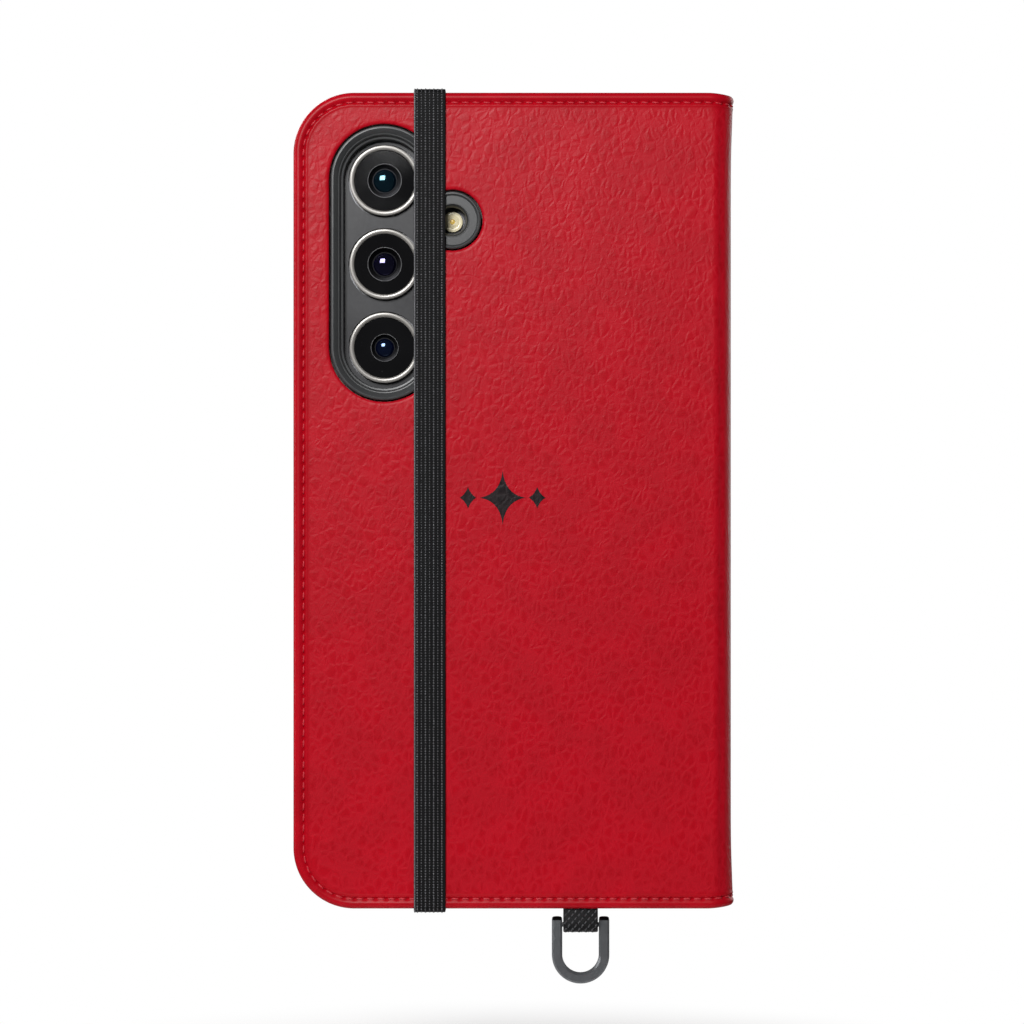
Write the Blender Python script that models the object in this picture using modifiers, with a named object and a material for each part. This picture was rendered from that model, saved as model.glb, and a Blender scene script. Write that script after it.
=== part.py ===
"""Phone wallet case, closed and stood on end, with the phone in it.

+Z points to the top of the phone, +X to the spine and -Y out of the back cover.
The origin is the centre of the back cover's outer face. Lengths are in metres.
"""

import math

import bmesh
import bpy

MM = 0.001

# Gaps and sheet goods
FIT = 0.3 * MM  # between pieces that touch
SKIN = 0.9 * MM  # leather
BOARD = 0.8 * MM
LINING = 0.4 * MM
POCKET = 0.6 * MM  # one pocket sheet
WEB = 0.65 * MM  # one layer of the tab's webbing

# Phone
PHONE_WIDTH = 75.9 * MM
PHONE_HEIGHT = 158.5 * MM
PHONE_DEPTH = 7.7 * MM
PHONE_CORNER = 9.8 * MM
PHONE_GLASS = 0.6 * MM
PHONE_GLASS_INSET = 0.8 * MM
PHONE_EDGE = 1.6 * MM  # rounding of the chassis

# Cameras and flash, on the phone's back
CAMERA_COUNT = 3
CAMERA_FROM_SIDE = 13.95 * MM  # from the phone's side to the lens centres
CAMERA_FROM_TOP = 14.15 * MM  # from the phone's top to the first lens
CAMERA_GAP = 2.7 * MM  # between two lens rings
LENS_RING_RADIUS = 7.15 * MM
LENS_RING_WIDTH = 0.75 * MM
LENS_RING_STAND = 1.3 * MM  # height above the back glass
LENS_WINDOW = 0.5 * MM
LENS_WINDOW_DEPTH = 0.35 * MM  # from the ring's top to the window
LENS_BARREL_RADIUS = 5.0 * MM
FLASH_FROM_CAMERA = (13.8 * MM, -8.35 * MM)  # across and along, from the first lens
FLASH_RADIUS = 2.1 * MM
FLASH_STAND = 0.2 * MM

# Side keys and charging port
KEY_WIDTH = 2.2 * MM
KEY_STAND = 0.5 * MM
KEY_TRAVEL = 0.25 * MM
KEY_RECESS = 1.2 * MM
POWER_KEY = (65.75 * MM, 11.0 * MM)  # from the phone's top to its centre, length
VOLUME_KEY = (44.25 * MM, 20.0 * MM)
PORT_WIDTH = 9.0 * MM
PORT_HEIGHT = 3.2 * MM
PORT_DEPTH = 6.0 * MM

# Moulded holder
SHELL_FLOOR = 1.0 * MM
SHELL_WALL = 1.3 * MM
SHELL_LIP = 0.5 * MM
SHELL_LIP_REACH = 1.2 * MM
KEY_WINDOW_MARGIN = 4.0 * MM
KEY_WINDOW_WIDTH = 4.6 * MM
PORT_ACCESS_WIDTH = 13.5 * MM
PORT_ACCESS_HEIGHT = 5.6 * MM

# The holder's rim in the back cover's window, round the cameras and, as an ear, the flash
RIM_LIP = 0.7 * MM  # flat top of the rim
RIM_SLOPE = 2.05 * MM  # width of the sloping part
RIM_MARGIN = 0.9 * MM  # from a lens ring to the foot of the slope
EAR_RECESS = 0.5 * MM
EAR_FLAT = 1.54 * MM
FLASH_MARGIN = 1.05 * MM  # from the flash to the wall of its hole
FLASH_HOLE_CHAMFER = 0.45 * MM

# Covers
COVER_SIDE_MARGIN = 2.7 * MM  # from the holder to a cover's side
COVER_END_MARGIN = 1.65 * MM  # from the holder to a cover's top or bottom
COVER_CORNER = 12.2 * MM
COVER_CLEARANCE = 0.4 * MM  # between the holder's lip and the pockets when shut
HINGE_SLACK = 0.5 * MM  # from the end of a cover to the start of the bend
BEND_RADIUS = 4.2 * MM  # outer radius of the spine's two bends

# Pockets in the front cover, open towards the spine
POCKET_MARGIN = 2.6 * MM  # from the cover's edge
CARD_POCKETS = 3
CARD_POCKET_HEIGHT = 92.0 * MM
POCKET_STEP = 9.6 * MM  # from one pocket's open edge to the next

# Elastic band
BAND_FROM_CAMERA = 9.25 * MM  # from the lens centres to the middle of the band
BAND_WIDTH = 6.4 * MM
BAND = 0.5 * MM
BAND_CORNER = 1.2 * MM
BAND_TUCK = 0.5 * MM  # past the middle of its sewn-in end
ANCHOR_LENGTH = 8.0 * MM

# Webbing tab and shackle
TAB_X = 15.8 * MM
TAB_WIDTH = 7.0 * MM
TAB_PIVOT_DROP = 0.4 * MM  # bend line below the cover's edge
TAB_START = 0.3 * MM  # tab's end below the bend line
BAR_DROP = 3.43 * MM  # bar below the cover's edge
BAR_RADIUS = 0.6 * MM
BAR_TIP_RADIUS = 0.4 * MM
BAR_TIP_LENGTH = 0.9 * MM
BAR_CLEARANCE = 0.3 * MM
SHACKLE_SIDE_GAP = 0.21 * MM  # from the webbing to a leg
SHACKLE_LEG = 2.1 * MM
SHACKLE_DEPTH = 2.2 * MM
SHACKLE_RISE = 1.6 * MM  # leg tops above the bar
SHACKLE_DROP = 6.07 * MM  # arc centre below the bar
SHACKLE_CHAMFER = 0.25 * MM

# Smoothness
CORNER_STEPS = 8  # for a quarter turn
ROUND_STEPS = 40  # for a turned piece

# Layers, counted from the back cover's outer face along +Y
BOARD_Y = SKIN + FIT
LINING_Y = BOARD_Y + BOARD + FIT
PAN_DEPTH = LINING_Y + LINING
SHELL_Y = PAN_DEPTH + FIT
PHONE_Y = SHELL_Y + SHELL_FLOOR + FIT
CHASSIS_Y = PHONE_Y + PHONE_GLASS + FIT
SCREEN_Y = PHONE_Y + PHONE_DEPTH - PHONE_GLASS
LIP_Y = PHONE_Y + PHONE_DEPTH + FIT
POCKET_Y = LIP_Y + SHELL_LIP + COVER_CLEARANCE
CASH_Y = POCKET_Y + CARD_POCKETS * (POCKET + FIT)
THICKNESS = CASH_Y + POCKET + FIT + PAN_DEPTH

# Places on the phone and in the window
CAMERA_X = CAMERA_FROM_SIDE - PHONE_WIDTH / 2
CAMERA_TOP_Z = PHONE_HEIGHT / 2 - CAMERA_FROM_TOP
CAMERA_PITCH = 2 * LENS_RING_RADIUS + CAMERA_GAP
FLASH_X = CAMERA_X + FLASH_FROM_CAMERA[0]
FLASH_Z = CAMERA_TOP_Z + FLASH_FROM_CAMERA[1]
RIM_FOOT = LENS_RING_RADIUS + RIM_MARGIN
WINDOW_HALF_WIDTH = RIM_FOOT + RIM_SLOPE + RIM_LIP + FIT
FLASH_HOLE_RADIUS = FLASH_RADIUS + FLASH_MARGIN
WINDOW_EAR_RADIUS = FLASH_HOLE_RADIUS + FLASH_HOLE_CHAMFER + EAR_FLAT + RIM_LIP + FIT

# Edges
COVER_WIDTH = PHONE_WIDTH + 2 * (FIT + SHELL_WALL + COVER_SIDE_MARGIN)
COVER_HEIGHT = PHONE_HEIGHT + 2 * (FIT + SHELL_WALL + COVER_END_MARGIN)
LEFT = -COVER_WIDTH / 2
BEND_X = COVER_WIDTH / 2
COVER_END = BEND_X - HINGE_SLACK
TOP = COVER_HEIGHT / 2
BAR_Z = -TOP - BAR_DROP
TAB_Y = BOARD_Y + BOARD / 2
PHONE_FACE_X = -PHONE_WIDTH / 2
PHONE_MID_Y = PHONE_Y + PHONE_DEPTH / 2
BAND_X = CAMERA_X + BAND_FROM_CAMERA
ANCHOR_Y = THICKNESS - BOARD_Y - BOARD / 2
SHACKLE_INNER_RADIUS = TAB_WIDTH / 2 + SHACKLE_SIDE_GAP
CUT = 1.0 * MM  # how far a cutter runs past what it cuts


def clear_scene():
    for thing in list(bpy.data.objects):
        bpy.data.objects.remove(thing)
    for collection in list(bpy.data.collections):
        bpy.data.collections.remove(collection)


def new_collection(name):
    collection = bpy.data.collections.new(name)
    bpy.context.scene.collection.children.link(collection)
    return collection


clear_scene()
PARTS = new_collection("phone_wallet_case")
CUTTERS = new_collection("cutters")


def new_material(name, color, roughness, metallic=0.0):
    material = bpy.data.materials.new(name)
    material.use_nodes = True
    shader = material.node_tree.nodes["Principled BSDF"]
    shader.inputs["Base Color"].default_value = (*color, 1.0)
    shader.inputs["Roughness"].default_value = roughness
    shader.inputs["Metallic"].default_value = metallic
    return material


RED_LEATHER = new_material("red_leather", (0.46, 0.012, 0.03), 0.5)
BLACK_LINING = new_material("black_lining", (0.02, 0.02, 0.022), 0.8)
GREYBOARD = new_material("greyboard", (0.25, 0.24, 0.22), 0.9)
HOLDER_PLASTIC = new_material("holder_plastic", (0.05, 0.05, 0.052), 0.45)
BLACK_WEBBING = new_material("black_webbing", (0.012, 0.012, 0.012), 0.7)
GUNMETAL = new_material("gunmetal", (0.11, 0.11, 0.115), 0.3, 1.0)
LENS_METAL = new_material("lens_metal", (0.42, 0.41, 0.39), 0.25, 1.0)
LENS_GLASS = new_material("lens_glass", (0.004, 0.004, 0.006), 0.05)
PHONE_METAL = new_material("phone_metal", (0.06, 0.06, 0.063), 0.35, 1.0)
PHONE_BACK = new_material("phone_back", (0.055, 0.055, 0.058), 0.3)
SCREEN_GLASS = new_material("screen_glass", (0.003, 0.003, 0.004), 0.04)
FLASH_LENS = new_material("flash_lens", (0.8, 0.72, 0.5), 0.2)


# Outlines: lists of (across, along) points, anticlockwise


def arc(center, radius, start, end, steps):
    """Points along an arc, its angles in degrees."""
    turns = [math.radians(start + (end - start) * i / steps) for i in range(steps + 1)]
    return [(center[0] + radius * math.cos(a), center[1] + radius * math.sin(a)) for a in turns]


def circle(center, radius, steps=ROUND_STEPS):
    return arc(center, radius, 0, 360, steps)[:-1]


def rounded_box(low, high, radius):
    (x0, z0), (x1, z1) = low, high
    corners = (
        ((x1 - radius, z0 + radius), -90),
        ((x1 - radius, z1 - radius), 0),
        ((x0 + radius, z1 - radius), 90),
        ((x0 + radius, z0 + radius), 180),
    )
    return [p for center, start in corners for p in arc(center, radius, start, start + 90, CORNER_STEPS)]


def box_outline(low, high):
    return [low, (high[0], low[1]), high, (low[0], high[1])]


def cover_outline(inset=0.0, right=COVER_END):
    """A cover's outline: round at its two free corners, square at the spine."""
    radius = COVER_CORNER - inset
    left, top = LEFT + inset, TOP - inset
    upper = arc((left + radius, top - radius), radius, 90, 180, CORNER_STEPS)
    lower = arc((left + radius, -top + radius), radius, 180, 270, CORNER_STEPS)
    return [(right, -top), (right, top), *upper, *lower]


def phone_outline(grow):
    half_width, half_height = PHONE_WIDTH / 2 + grow, PHONE_HEIGHT / 2 + grow
    return rounded_box((-half_width, -half_height), (half_width, half_height), PHONE_CORNER + grow)


def camera_z(index):
    return CAMERA_TOP_Z - index * CAMERA_PITCH


def slot_outline(half_width):
    """The camera slot alone."""
    top = arc((CAMERA_X, camera_z(0)), half_width, 0, 180, 2 * CORNER_STEPS)
    foot = arc((CAMERA_X, camera_z(CAMERA_COUNT - 1)), half_width, 180, 360, 2 * CORNER_STEPS)
    return top + foot


def window_outline(grow=0.0):
    """The camera slot joined with the flash's round ear."""
    half_width, ear = WINDOW_HALF_WIDTH + grow, WINDOW_EAR_RADIUS + grow
    side = CAMERA_X + half_width
    meet = math.degrees(math.acos((side - FLASH_X) / ear))
    return slot_outline(half_width) + arc((FLASH_X, FLASH_Z), ear, -meet, meet, 3 * CORNER_STEPS)


# Solids


def curve_mesh(name, outlines, depth):
    """A flat outline, with holes after the first, filled and made this thick about its plane."""
    data = bpy.data.curves.new(name, "CURVE")
    data.dimensions = "2D"
    data.fill_mode = "BOTH"
    data.extrude = depth / 2
    for outline in outlines:
        spline = data.splines.new("POLY")
        spline.points.add(len(outline) - 1)
        for point, (x, y) in zip(spline.points, outline):
            point.co = (x, y, 0, 1)
        spline.use_cyclic_u = True
    curve = bpy.data.objects.new(name + "_curve", data)
    PARTS.objects.link(curve)
    graph = bpy.context.evaluated_depsgraph_get()
    mesh = bpy.data.meshes.new_from_object(curve.evaluated_get(graph))
    bpy.data.objects.remove(curve)
    weld(mesh)
    return mesh


def weld(mesh):
    work = bmesh.new()
    work.from_mesh(mesh)
    bmesh.ops.remove_doubles(work, verts=work.verts, dist=0.00001)
    bmesh.ops.recalc_face_normals(work, faces=work.faces)
    work.to_mesh(mesh)
    work.free()


def add_object(name, mesh, material):
    """A part, or a cutter where there is no material."""
    mesh.name = name
    thing = bpy.data.objects.new(name, mesh)
    if material:
        mesh.materials.clear()
        mesh.materials.append(material)
        PARTS.objects.link(thing)
    else:
        thing.hide_render = True
        thing.display_type = "WIRE"
        CUTTERS.objects.link(thing)
    return thing


def plate(name, outlines, y0, y1, material=None):
    """Outlines in X and Z, solid from y0 to y1."""
    thing = add_object(name, curve_mesh(name, outlines, y1 - y0), material)
    thing.rotation_euler = (math.radians(90), 0, 0)
    thing.location = (0, (y0 + y1) / 2, 0)
    return thing


def post(name, outlines, z0, z1, material=None):
    """Outlines in X and Y, solid from z0 to z1."""
    thing = add_object(name, curve_mesh(name, outlines, z1 - z0), material)
    thing.location = (0, 0, (z0 + z1) / 2)
    return thing


def rail(name, outlines, x0, x1, material=None):
    """Outlines in Y and Z, solid from x0 to x1."""
    thing = add_object(name, curve_mesh(name, outlines, x1 - x0), material)
    thing.rotation_euler = (math.radians(90), 0, math.radians(90))
    thing.location = ((x0 + x1) / 2, 0, 0)
    return thing


def turned(name, profile, center, material=None, closed=False, along_x=False):
    """A (radius, height) profile turned about -Y through center, or about X."""
    mesh = bpy.data.meshes.new(name)
    last = len(profile) - 1
    edges = [(i, i + 1) for i in range(last)]
    if closed:
        edges.append((last, 0))
    mesh.from_pydata([(radius, 0, height) for radius, height in profile], edges, [])
    thing = add_object(name, mesh, material)
    screw = thing.modifiers.new("turn", "SCREW")
    screw.steps = screw.render_steps = ROUND_STEPS
    screw.use_merge_vertices = True
    screw.merge_threshold = 0.00001
    thing.rotation_euler = (0, math.radians(90), 0) if along_x else (math.radians(90), 0, 0)
    thing.location = center
    return thing


def tapered(name, lower, upper, y0, y1):
    """A cutter lofted from one outline at y0 to a like one at y1."""
    work = bmesh.new()
    rings = [[work.verts.new((x, y, z)) for x, z in ring] for ring, y in ((lower, y0), (upper, y1))]
    for ring in rings:
        work.faces.new(ring)
    for i in range(len(lower)):
        work.faces.new((rings[0][i - 1], rings[0][i], rings[1][i], rings[1][i - 1]))
    bmesh.ops.recalc_face_normals(work, faces=work.faces)
    mesh = bpy.data.meshes.new(name)
    work.to_mesh(mesh)
    work.free()
    return add_object(name, mesh, None)


def combine(thing, other, operation="DIFFERENCE"):
    modifier = thing.modifiers.new(other.name, "BOOLEAN")
    modifier.operation = operation
    modifier.object = other


def soften(thing, width, segments=1):
    bevel = thing.modifiers.new("edges", "BEVEL")
    bevel.width = width
    bevel.segments = segments
    bevel.limit_method = "ANGLE"
    bevel.angle_limit = math.radians(40)


def smooth_round_pieces():
    for thing in PARTS.objects:
        thing.data.shade_smooth()
        thing.data.set_sharp_from_angle(angle=math.radians(35))


# Covers


def make_pan(name, outlines, outer_y, inner_y):
    """A cover's leather, turned up round its three free sides to hold board and lining."""
    away = 1 if inner_y > outer_y else -1
    low, high = sorted((outer_y, inner_y))
    pan = plate(name, outlines, low, high, RED_LEATHER)
    floor_y, past_y = sorted((outer_y + away * SKIN, inner_y + away * CUT))
    hollow = plate(name + "_hollow", [cover_outline(SKIN, COVER_END + CUT)], floor_y, past_y)
    combine(pan, hollow)
    return pan


def cut_anchor_slot(thing, name, x, width, z_side, y):
    """The slot that a sewn-in end needs, through the turned-up edge and into the board."""
    across = width / 2 + FIT
    near, far = TOP - SKIN - ANCHOR_LENGTH - FIT, TOP + CUT
    low, high = sorted((z_side * near, z_side * far))
    outline = box_outline((x - across, low), (x + across, high))
    half = BOARD / 2 + FIT
    combine(thing, plate(name, [outline], y - half, y + half))


def make_anchor(name, x, width, z_side, y):
    low, high = sorted((z_side * (TOP - SKIN - ANCHOR_LENGTH), z_side * TOP))
    outline = box_outline((x - width / 2, low), (x + width / 2, high))
    return plate(name, [outline], y - BOARD / 2, y + BOARD / 2, BLACK_WEBBING)


def make_back_cover():
    inset = SKIN + FIT
    skin = make_pan("back_skin", [cover_outline(), window_outline()], 0.0, PAN_DEPTH)
    inner = [cover_outline(inset), window_outline()]
    board = plate("back_board", inner, BOARD_Y, BOARD_Y + BOARD, GREYBOARD)
    plate("back_lining", inner, LINING_Y, LINING_Y + LINING, BLACK_LINING)
    for thing, name in ((skin, "tab_slot_in_skin"), (board, "tab_slot_in_board")):
        cut_anchor_slot(thing, name, TAB_X, TAB_WIDTH, -1, TAB_Y)
    make_anchor("tab_anchor", TAB_X, TAB_WIDTH, -1, TAB_Y)


def make_front_cover():
    inset = SKIN + FIT
    skin = make_pan("front_skin", [cover_outline()], THICKNESS, THICKNESS - PAN_DEPTH)
    board_y = THICKNESS - BOARD_Y
    board = plate("front_board", [cover_outline(inset)], board_y - BOARD, board_y, GREYBOARD)
    lining_y = THICKNESS - LINING_Y
    plate("front_lining", [cover_outline(inset)], lining_y - LINING, lining_y, BLACK_LINING)
    for side, end in ((1, "top"), (-1, "bottom")):
        for thing in (skin, board):
            cut_anchor_slot(thing, f"band_slot_{end}_in_{thing.name}", BAND_X, BAND_WIDTH, side, ANCHOR_Y)
        make_anchor(f"band_anchor_{end}", BAND_X, BAND_WIDTH, side, ANCHOR_Y)


def make_pockets():
    """Card pockets stepped one behind the other, and the cash pocket behind them all."""
    left, open_edge = LEFT + POCKET_MARGIN, COVER_END - POCKET_MARGIN
    for i in range(CARD_POCKETS):
        right = open_edge - (CARD_POCKETS - i) * POCKET_STEP
        outline = box_outline((left, -CARD_POCKET_HEIGHT / 2), (right, CARD_POCKET_HEIGHT / 2))
        y = POCKET_Y + i * (POCKET + FIT)
        plate(f"card_pocket_{i + 1}", [outline], y, y + POCKET, BLACK_LINING)
    cash = cover_outline(POCKET_MARGIN, open_edge)
    plate("cash_pocket", [cash], CASH_Y, CASH_Y + POCKET, BLACK_LINING)


def make_spine():
    back, front = (BEND_X, BEND_RADIUS), (BEND_X, THICKNESS - BEND_RADIUS)
    inner = BEND_RADIUS - SKIN
    outside = arc(back, BEND_RADIUS, -90, 0, CORNER_STEPS) + arc(front, BEND_RADIUS, 0, 90, CORNER_STEPS)
    inside = arc(front, inner, 90, 0, CORNER_STEPS) + arc(back, inner, 0, -90, CORNER_STEPS)
    post("spine_skin", [outside + inside], -TOP, TOP, RED_LEATHER)
    board_x = BEND_X + inner - FIT
    lining_x = board_x - BOARD - FIT
    top = TOP - SKIN - FIT
    for name, x, thick, material in (
        ("spine_board", board_x, BOARD, GREYBOARD),
        ("spine_lining", lining_x, LINING, BLACK_LINING),
    ):
        strip = box_outline((x - thick, BEND_RADIUS), (x, THICKNESS - BEND_RADIUS))
        post(name, [strip], -top, top, material)


# Holder and phone


def make_shell():
    shell = plate(
        "phone_shell",
        [phone_outline(FIT + SHELL_WALL)],
        SHELL_Y,
        LIP_Y + SHELL_LIP,
        HOLDER_PLASTIC,
    )
    combine(shell, plate("phone_pocket", [phone_outline(FIT)], SHELL_Y + SHELL_FLOOR, LIP_Y))
    mouth = plate("screen_mouth", [phone_outline(-SHELL_LIP_REACH)], LIP_Y - CUT, LIP_Y + SHELL_LIP + CUT)
    combine(shell, mouth)
    combine(shell, plate("camera_rim", [window_outline(-FIT)], 0, SHELL_Y + SHELL_FLOOR / 2), "UNION")
    rim_top = WINDOW_HALF_WIDTH - FIT - RIM_LIP
    # The taper starts a cutter's length outside the rim, on the same slope.
    wide = rim_top + RIM_SLOPE / SHELL_Y * CUT
    combine(shell, tapered("camera_taper", slot_outline(wide), slot_outline(RIM_FOOT), -CUT, SHELL_Y))
    combine(shell, plate("camera_slot", [slot_outline(RIM_FOOT)], SHELL_Y - CUT, PHONE_Y))
    ear = WINDOW_EAR_RADIUS - FIT - RIM_LIP
    chamfer = FLASH_HOLE_RADIUS + FLASH_HOLE_CHAMFER
    profile = [
        (0, CUT),
        (ear, CUT),
        (ear, -EAR_RECESS),
        (chamfer, -EAR_RECESS),
        (FLASH_HOLE_RADIUS, -EAR_RECESS - FLASH_HOLE_CHAMFER),
        (FLASH_HOLE_RADIUS, -PHONE_Y),
        (0, -PHONE_Y),
    ]
    combine(shell, turned("flash_hole", profile, (FLASH_X, 0, FLASH_Z)))
    phone_top = PHONE_HEIGHT / 2
    key_low = phone_top - POWER_KEY[0] - POWER_KEY[1] / 2 - KEY_WINDOW_MARGIN
    key_high = phone_top - VOLUME_KEY[0] + VOLUME_KEY[1] / 2 + KEY_WINDOW_MARGIN
    half = KEY_WINDOW_WIDTH / 2
    key_outline = rounded_box((PHONE_MID_Y - half, key_low), (PHONE_MID_Y + half, key_high), half * 0.9)
    wall_x = PHONE_FACE_X - FIT - SHELL_WALL
    combine(shell, rail("key_window", [key_outline], wall_x - CUT, PHONE_FACE_X + CUT))
    half_width, half = PORT_ACCESS_WIDTH / 2, PORT_ACCESS_HEIGHT / 2
    access = rounded_box((-half_width, PHONE_MID_Y - half), (half_width, PHONE_MID_Y + half), half * 0.9)
    foot = -PHONE_HEIGHT / 2
    combine(shell, post("port_access", [access], foot - FIT - SHELL_WALL - CUT, foot + CUT))


def lens_centers():
    return [(CAMERA_X, camera_z(i)) for i in range(CAMERA_COUNT)]


def make_phone():
    back_holes = [circle(center, LENS_RING_RADIUS + FIT) for center in lens_centers()]
    back_holes.append(circle((FLASH_X, FLASH_Z), FLASH_RADIUS + FIT))
    outline = phone_outline(-PHONE_GLASS_INSET)
    plate("phone_back_glass", [outline, *back_holes], PHONE_Y, PHONE_Y + PHONE_GLASS, PHONE_BACK)
    plate("phone_screen", [outline], SCREEN_Y, SCREEN_Y + PHONE_GLASS, SCREEN_GLASS)
    chassis = plate("phone_chassis", [phone_outline(0)], CHASSIS_Y, SCREEN_Y - FIT, PHONE_METAL)
    soften(chassis, PHONE_EDGE, 3)
    half_width, half = PORT_WIDTH / 2, PORT_HEIGHT / 2
    port = rounded_box((-half_width, PHONE_MID_Y - half), (half_width, PHONE_MID_Y + half), half * 0.95)
    foot = -PHONE_HEIGHT / 2
    combine(chassis, post("charging_port", [port], foot - CUT, foot + PORT_DEPTH))
    for name, (from_top, length) in (("power_key", POWER_KEY), ("volume_key", VOLUME_KEY)):
        make_key(chassis, name, PHONE_HEIGHT / 2 - from_top, length)


def make_key(chassis, name, z, length):
    def outline(grow):
        half_width, half = KEY_WIDTH / 2 + grow, length / 2 + grow
        low, high = (PHONE_MID_Y - half_width, z - half), (PHONE_MID_Y + half_width, z + half)
        return rounded_box(low, high, half_width * 0.9)

    recess = PHONE_FACE_X + KEY_RECESS
    combine(chassis, rail(name + "_recess", [outline(FIT)], PHONE_FACE_X - CUT, recess))
    rail(name, [outline(0)], PHONE_FACE_X - KEY_STAND, recess - FIT - KEY_TRAVEL, PHONE_METAL)


def make_cameras():
    foot = -(CHASSIS_Y - FIT)
    top = -(PHONE_Y - LENS_RING_STAND)
    bore = LENS_RING_RADIUS - LENS_RING_WIDTH
    ring = [(LENS_RING_RADIUS, top), (LENS_RING_RADIUS, foot), (bore, foot), (bore, top)]
    window_top = top - LENS_WINDOW_DEPTH
    window_foot = window_top - LENS_WINDOW
    window = disc_profile(bore - FIT, window_top, window_foot)
    barrel = disc_profile(LENS_BARREL_RADIUS, window_foot - FIT, foot)
    for i, (x, z) in enumerate(lens_centers()):
        center = (x, 0, z)
        turned(f"lens_ring_{i + 1}", ring, center, LENS_METAL, closed=True)
        turned(f"lens_window_{i + 1}", window, center, LENS_GLASS)
        turned(f"lens_barrel_{i + 1}", barrel, center, LENS_GLASS)
    flash = disc_profile(FLASH_RADIUS, -(PHONE_Y - FLASH_STAND), foot)
    turned("flash_lens", flash, (FLASH_X, 0, FLASH_Z), FLASH_LENS)


def disc_profile(radius, top, foot):
    return [(0, top), (radius, top), (radius, foot), (0, foot)]


# Band, tab and shackle


def make_band():
    """A loop open at the front cover, whose edges hold its two ends."""
    near, far, top = ANCHOR_Y + BAND_TUCK, -FIT, TOP + FIT

    def run(y, z, radius):
        low = arc((y + radius, radius - z), radius, 270, 180, CORNER_STEPS)
        high = arc((y + radius, z - radius), radius, 180, 90, CORNER_STEPS)
        return [(near, -z), *low, *high, (near, z)]

    outside = run(far - BAND, top + BAND, BAND_CORNER)
    inside = run(far, top, BAND_CORNER - BAND)
    loop = outside + inside[::-1]
    rail("elastic_band", [loop], BAND_X - BAND_WIDTH / 2, BAND_X + BAND_WIDTH / 2, BLACK_WEBBING)


def make_tab():
    """Two layers of webbing, folded round the shackle's bar."""
    hole = BAR_RADIUS + BAR_CLEARANCE
    loop = hole + WEB
    start = -TOP - TAB_PIVOT_DROP - TAB_START
    meet = math.degrees(math.asin(WEB / loop))
    round_end = arc((TAB_Y, BAR_Z), loop, 90 + meet, 450 - meet, 3 * CORNER_STEPS)
    outline = [(TAB_Y - WEB, start), *round_end, (TAB_Y + WEB, start)]
    eye = circle((TAB_Y, BAR_Z), hole, 3 * CORNER_STEPS)
    rail("strap_tab", [outline, eye], TAB_X - TAB_WIDTH / 2, TAB_X + TAB_WIDTH / 2, BLACK_WEBBING)


def make_shackle():
    top, middle = BAR_Z + SHACKLE_RISE, BAR_Z - SHACKLE_DROP
    inner, outer = SHACKLE_INNER_RADIUS, SHACKLE_INNER_RADIUS + SHACKLE_LEG
    outside = arc((TAB_X, middle), outer, 180, 360, 3 * CORNER_STEPS)
    inside = arc((TAB_X, middle), inner, 360, 180, 3 * CORNER_STEPS)
    right = [(TAB_X + outer, top), (TAB_X + inner, top)]
    left = [(TAB_X - inner, top), (TAB_X - outer, top)]
    half = SHACKLE_DEPTH / 2
    shackle = plate("ring_shackle", [outside + right + inside + left], TAB_Y - half, TAB_Y + half, GUNMETAL)
    soften(shackle, SHACKLE_CHAMFER)
    tip_end = inner + BAR_TIP_LENGTH
    for side, name in ((1, "right"), (-1, "left")):
        socket = disc_profile(BAR_TIP_RADIUS + FIT, tip_end + FIT, inner - CUT)
        cutter = turned(f"bar_socket_{name}", socket, (TAB_X, TAB_Y, BAR_Z), along_x=True)
        cutter.rotation_euler.y *= side
        combine(shackle, cutter)
    shoulder = inner - FIT
    bar = [
        (0, tip_end),
        (BAR_TIP_RADIUS, tip_end),
        (BAR_TIP_RADIUS, shoulder),
        (BAR_RADIUS, shoulder),
        (BAR_RADIUS, -shoulder),
        (BAR_TIP_RADIUS, -shoulder),
        (BAR_TIP_RADIUS, -tip_end),
        (0, -tip_end),
    ]
    turned("ring_bar", bar, (TAB_X, TAB_Y, BAR_Z), GUNMETAL, along_x=True)


make_back_cover()
make_front_cover()
make_pockets()
make_spine()
make_shell()
make_phone()
make_cameras()
make_band()
make_tab()
make_shackle()
smooth_round_pieces()
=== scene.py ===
"""Looks of a phone wallet case, closed and stood on end, with the phone in it.

+Z points to the top of the phone, +X to the spine and -Y out of the back cover.
The numbers below are in millimetres and become metres where a mesh is made.
"""

import math

import bmesh
import bpy
import numpy as np
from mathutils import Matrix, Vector, geometry, noise


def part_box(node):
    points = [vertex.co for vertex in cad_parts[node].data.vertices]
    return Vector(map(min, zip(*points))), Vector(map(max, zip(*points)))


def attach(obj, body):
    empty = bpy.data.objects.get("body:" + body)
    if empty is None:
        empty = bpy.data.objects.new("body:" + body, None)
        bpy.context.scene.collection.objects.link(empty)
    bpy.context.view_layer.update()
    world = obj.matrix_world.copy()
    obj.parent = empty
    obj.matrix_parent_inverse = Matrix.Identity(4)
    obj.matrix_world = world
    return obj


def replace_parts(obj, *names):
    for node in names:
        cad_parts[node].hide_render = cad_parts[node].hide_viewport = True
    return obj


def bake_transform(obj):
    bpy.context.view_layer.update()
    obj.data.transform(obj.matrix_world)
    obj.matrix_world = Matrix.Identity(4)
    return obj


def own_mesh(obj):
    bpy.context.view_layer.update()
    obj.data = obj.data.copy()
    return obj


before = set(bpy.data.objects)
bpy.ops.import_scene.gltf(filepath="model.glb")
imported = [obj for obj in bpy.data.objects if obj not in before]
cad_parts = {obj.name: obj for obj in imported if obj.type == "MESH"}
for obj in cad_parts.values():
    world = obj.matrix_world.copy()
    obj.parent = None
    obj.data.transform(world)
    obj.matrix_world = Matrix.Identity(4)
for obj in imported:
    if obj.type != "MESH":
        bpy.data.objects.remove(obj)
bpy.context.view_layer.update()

MM = 0.001
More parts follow.
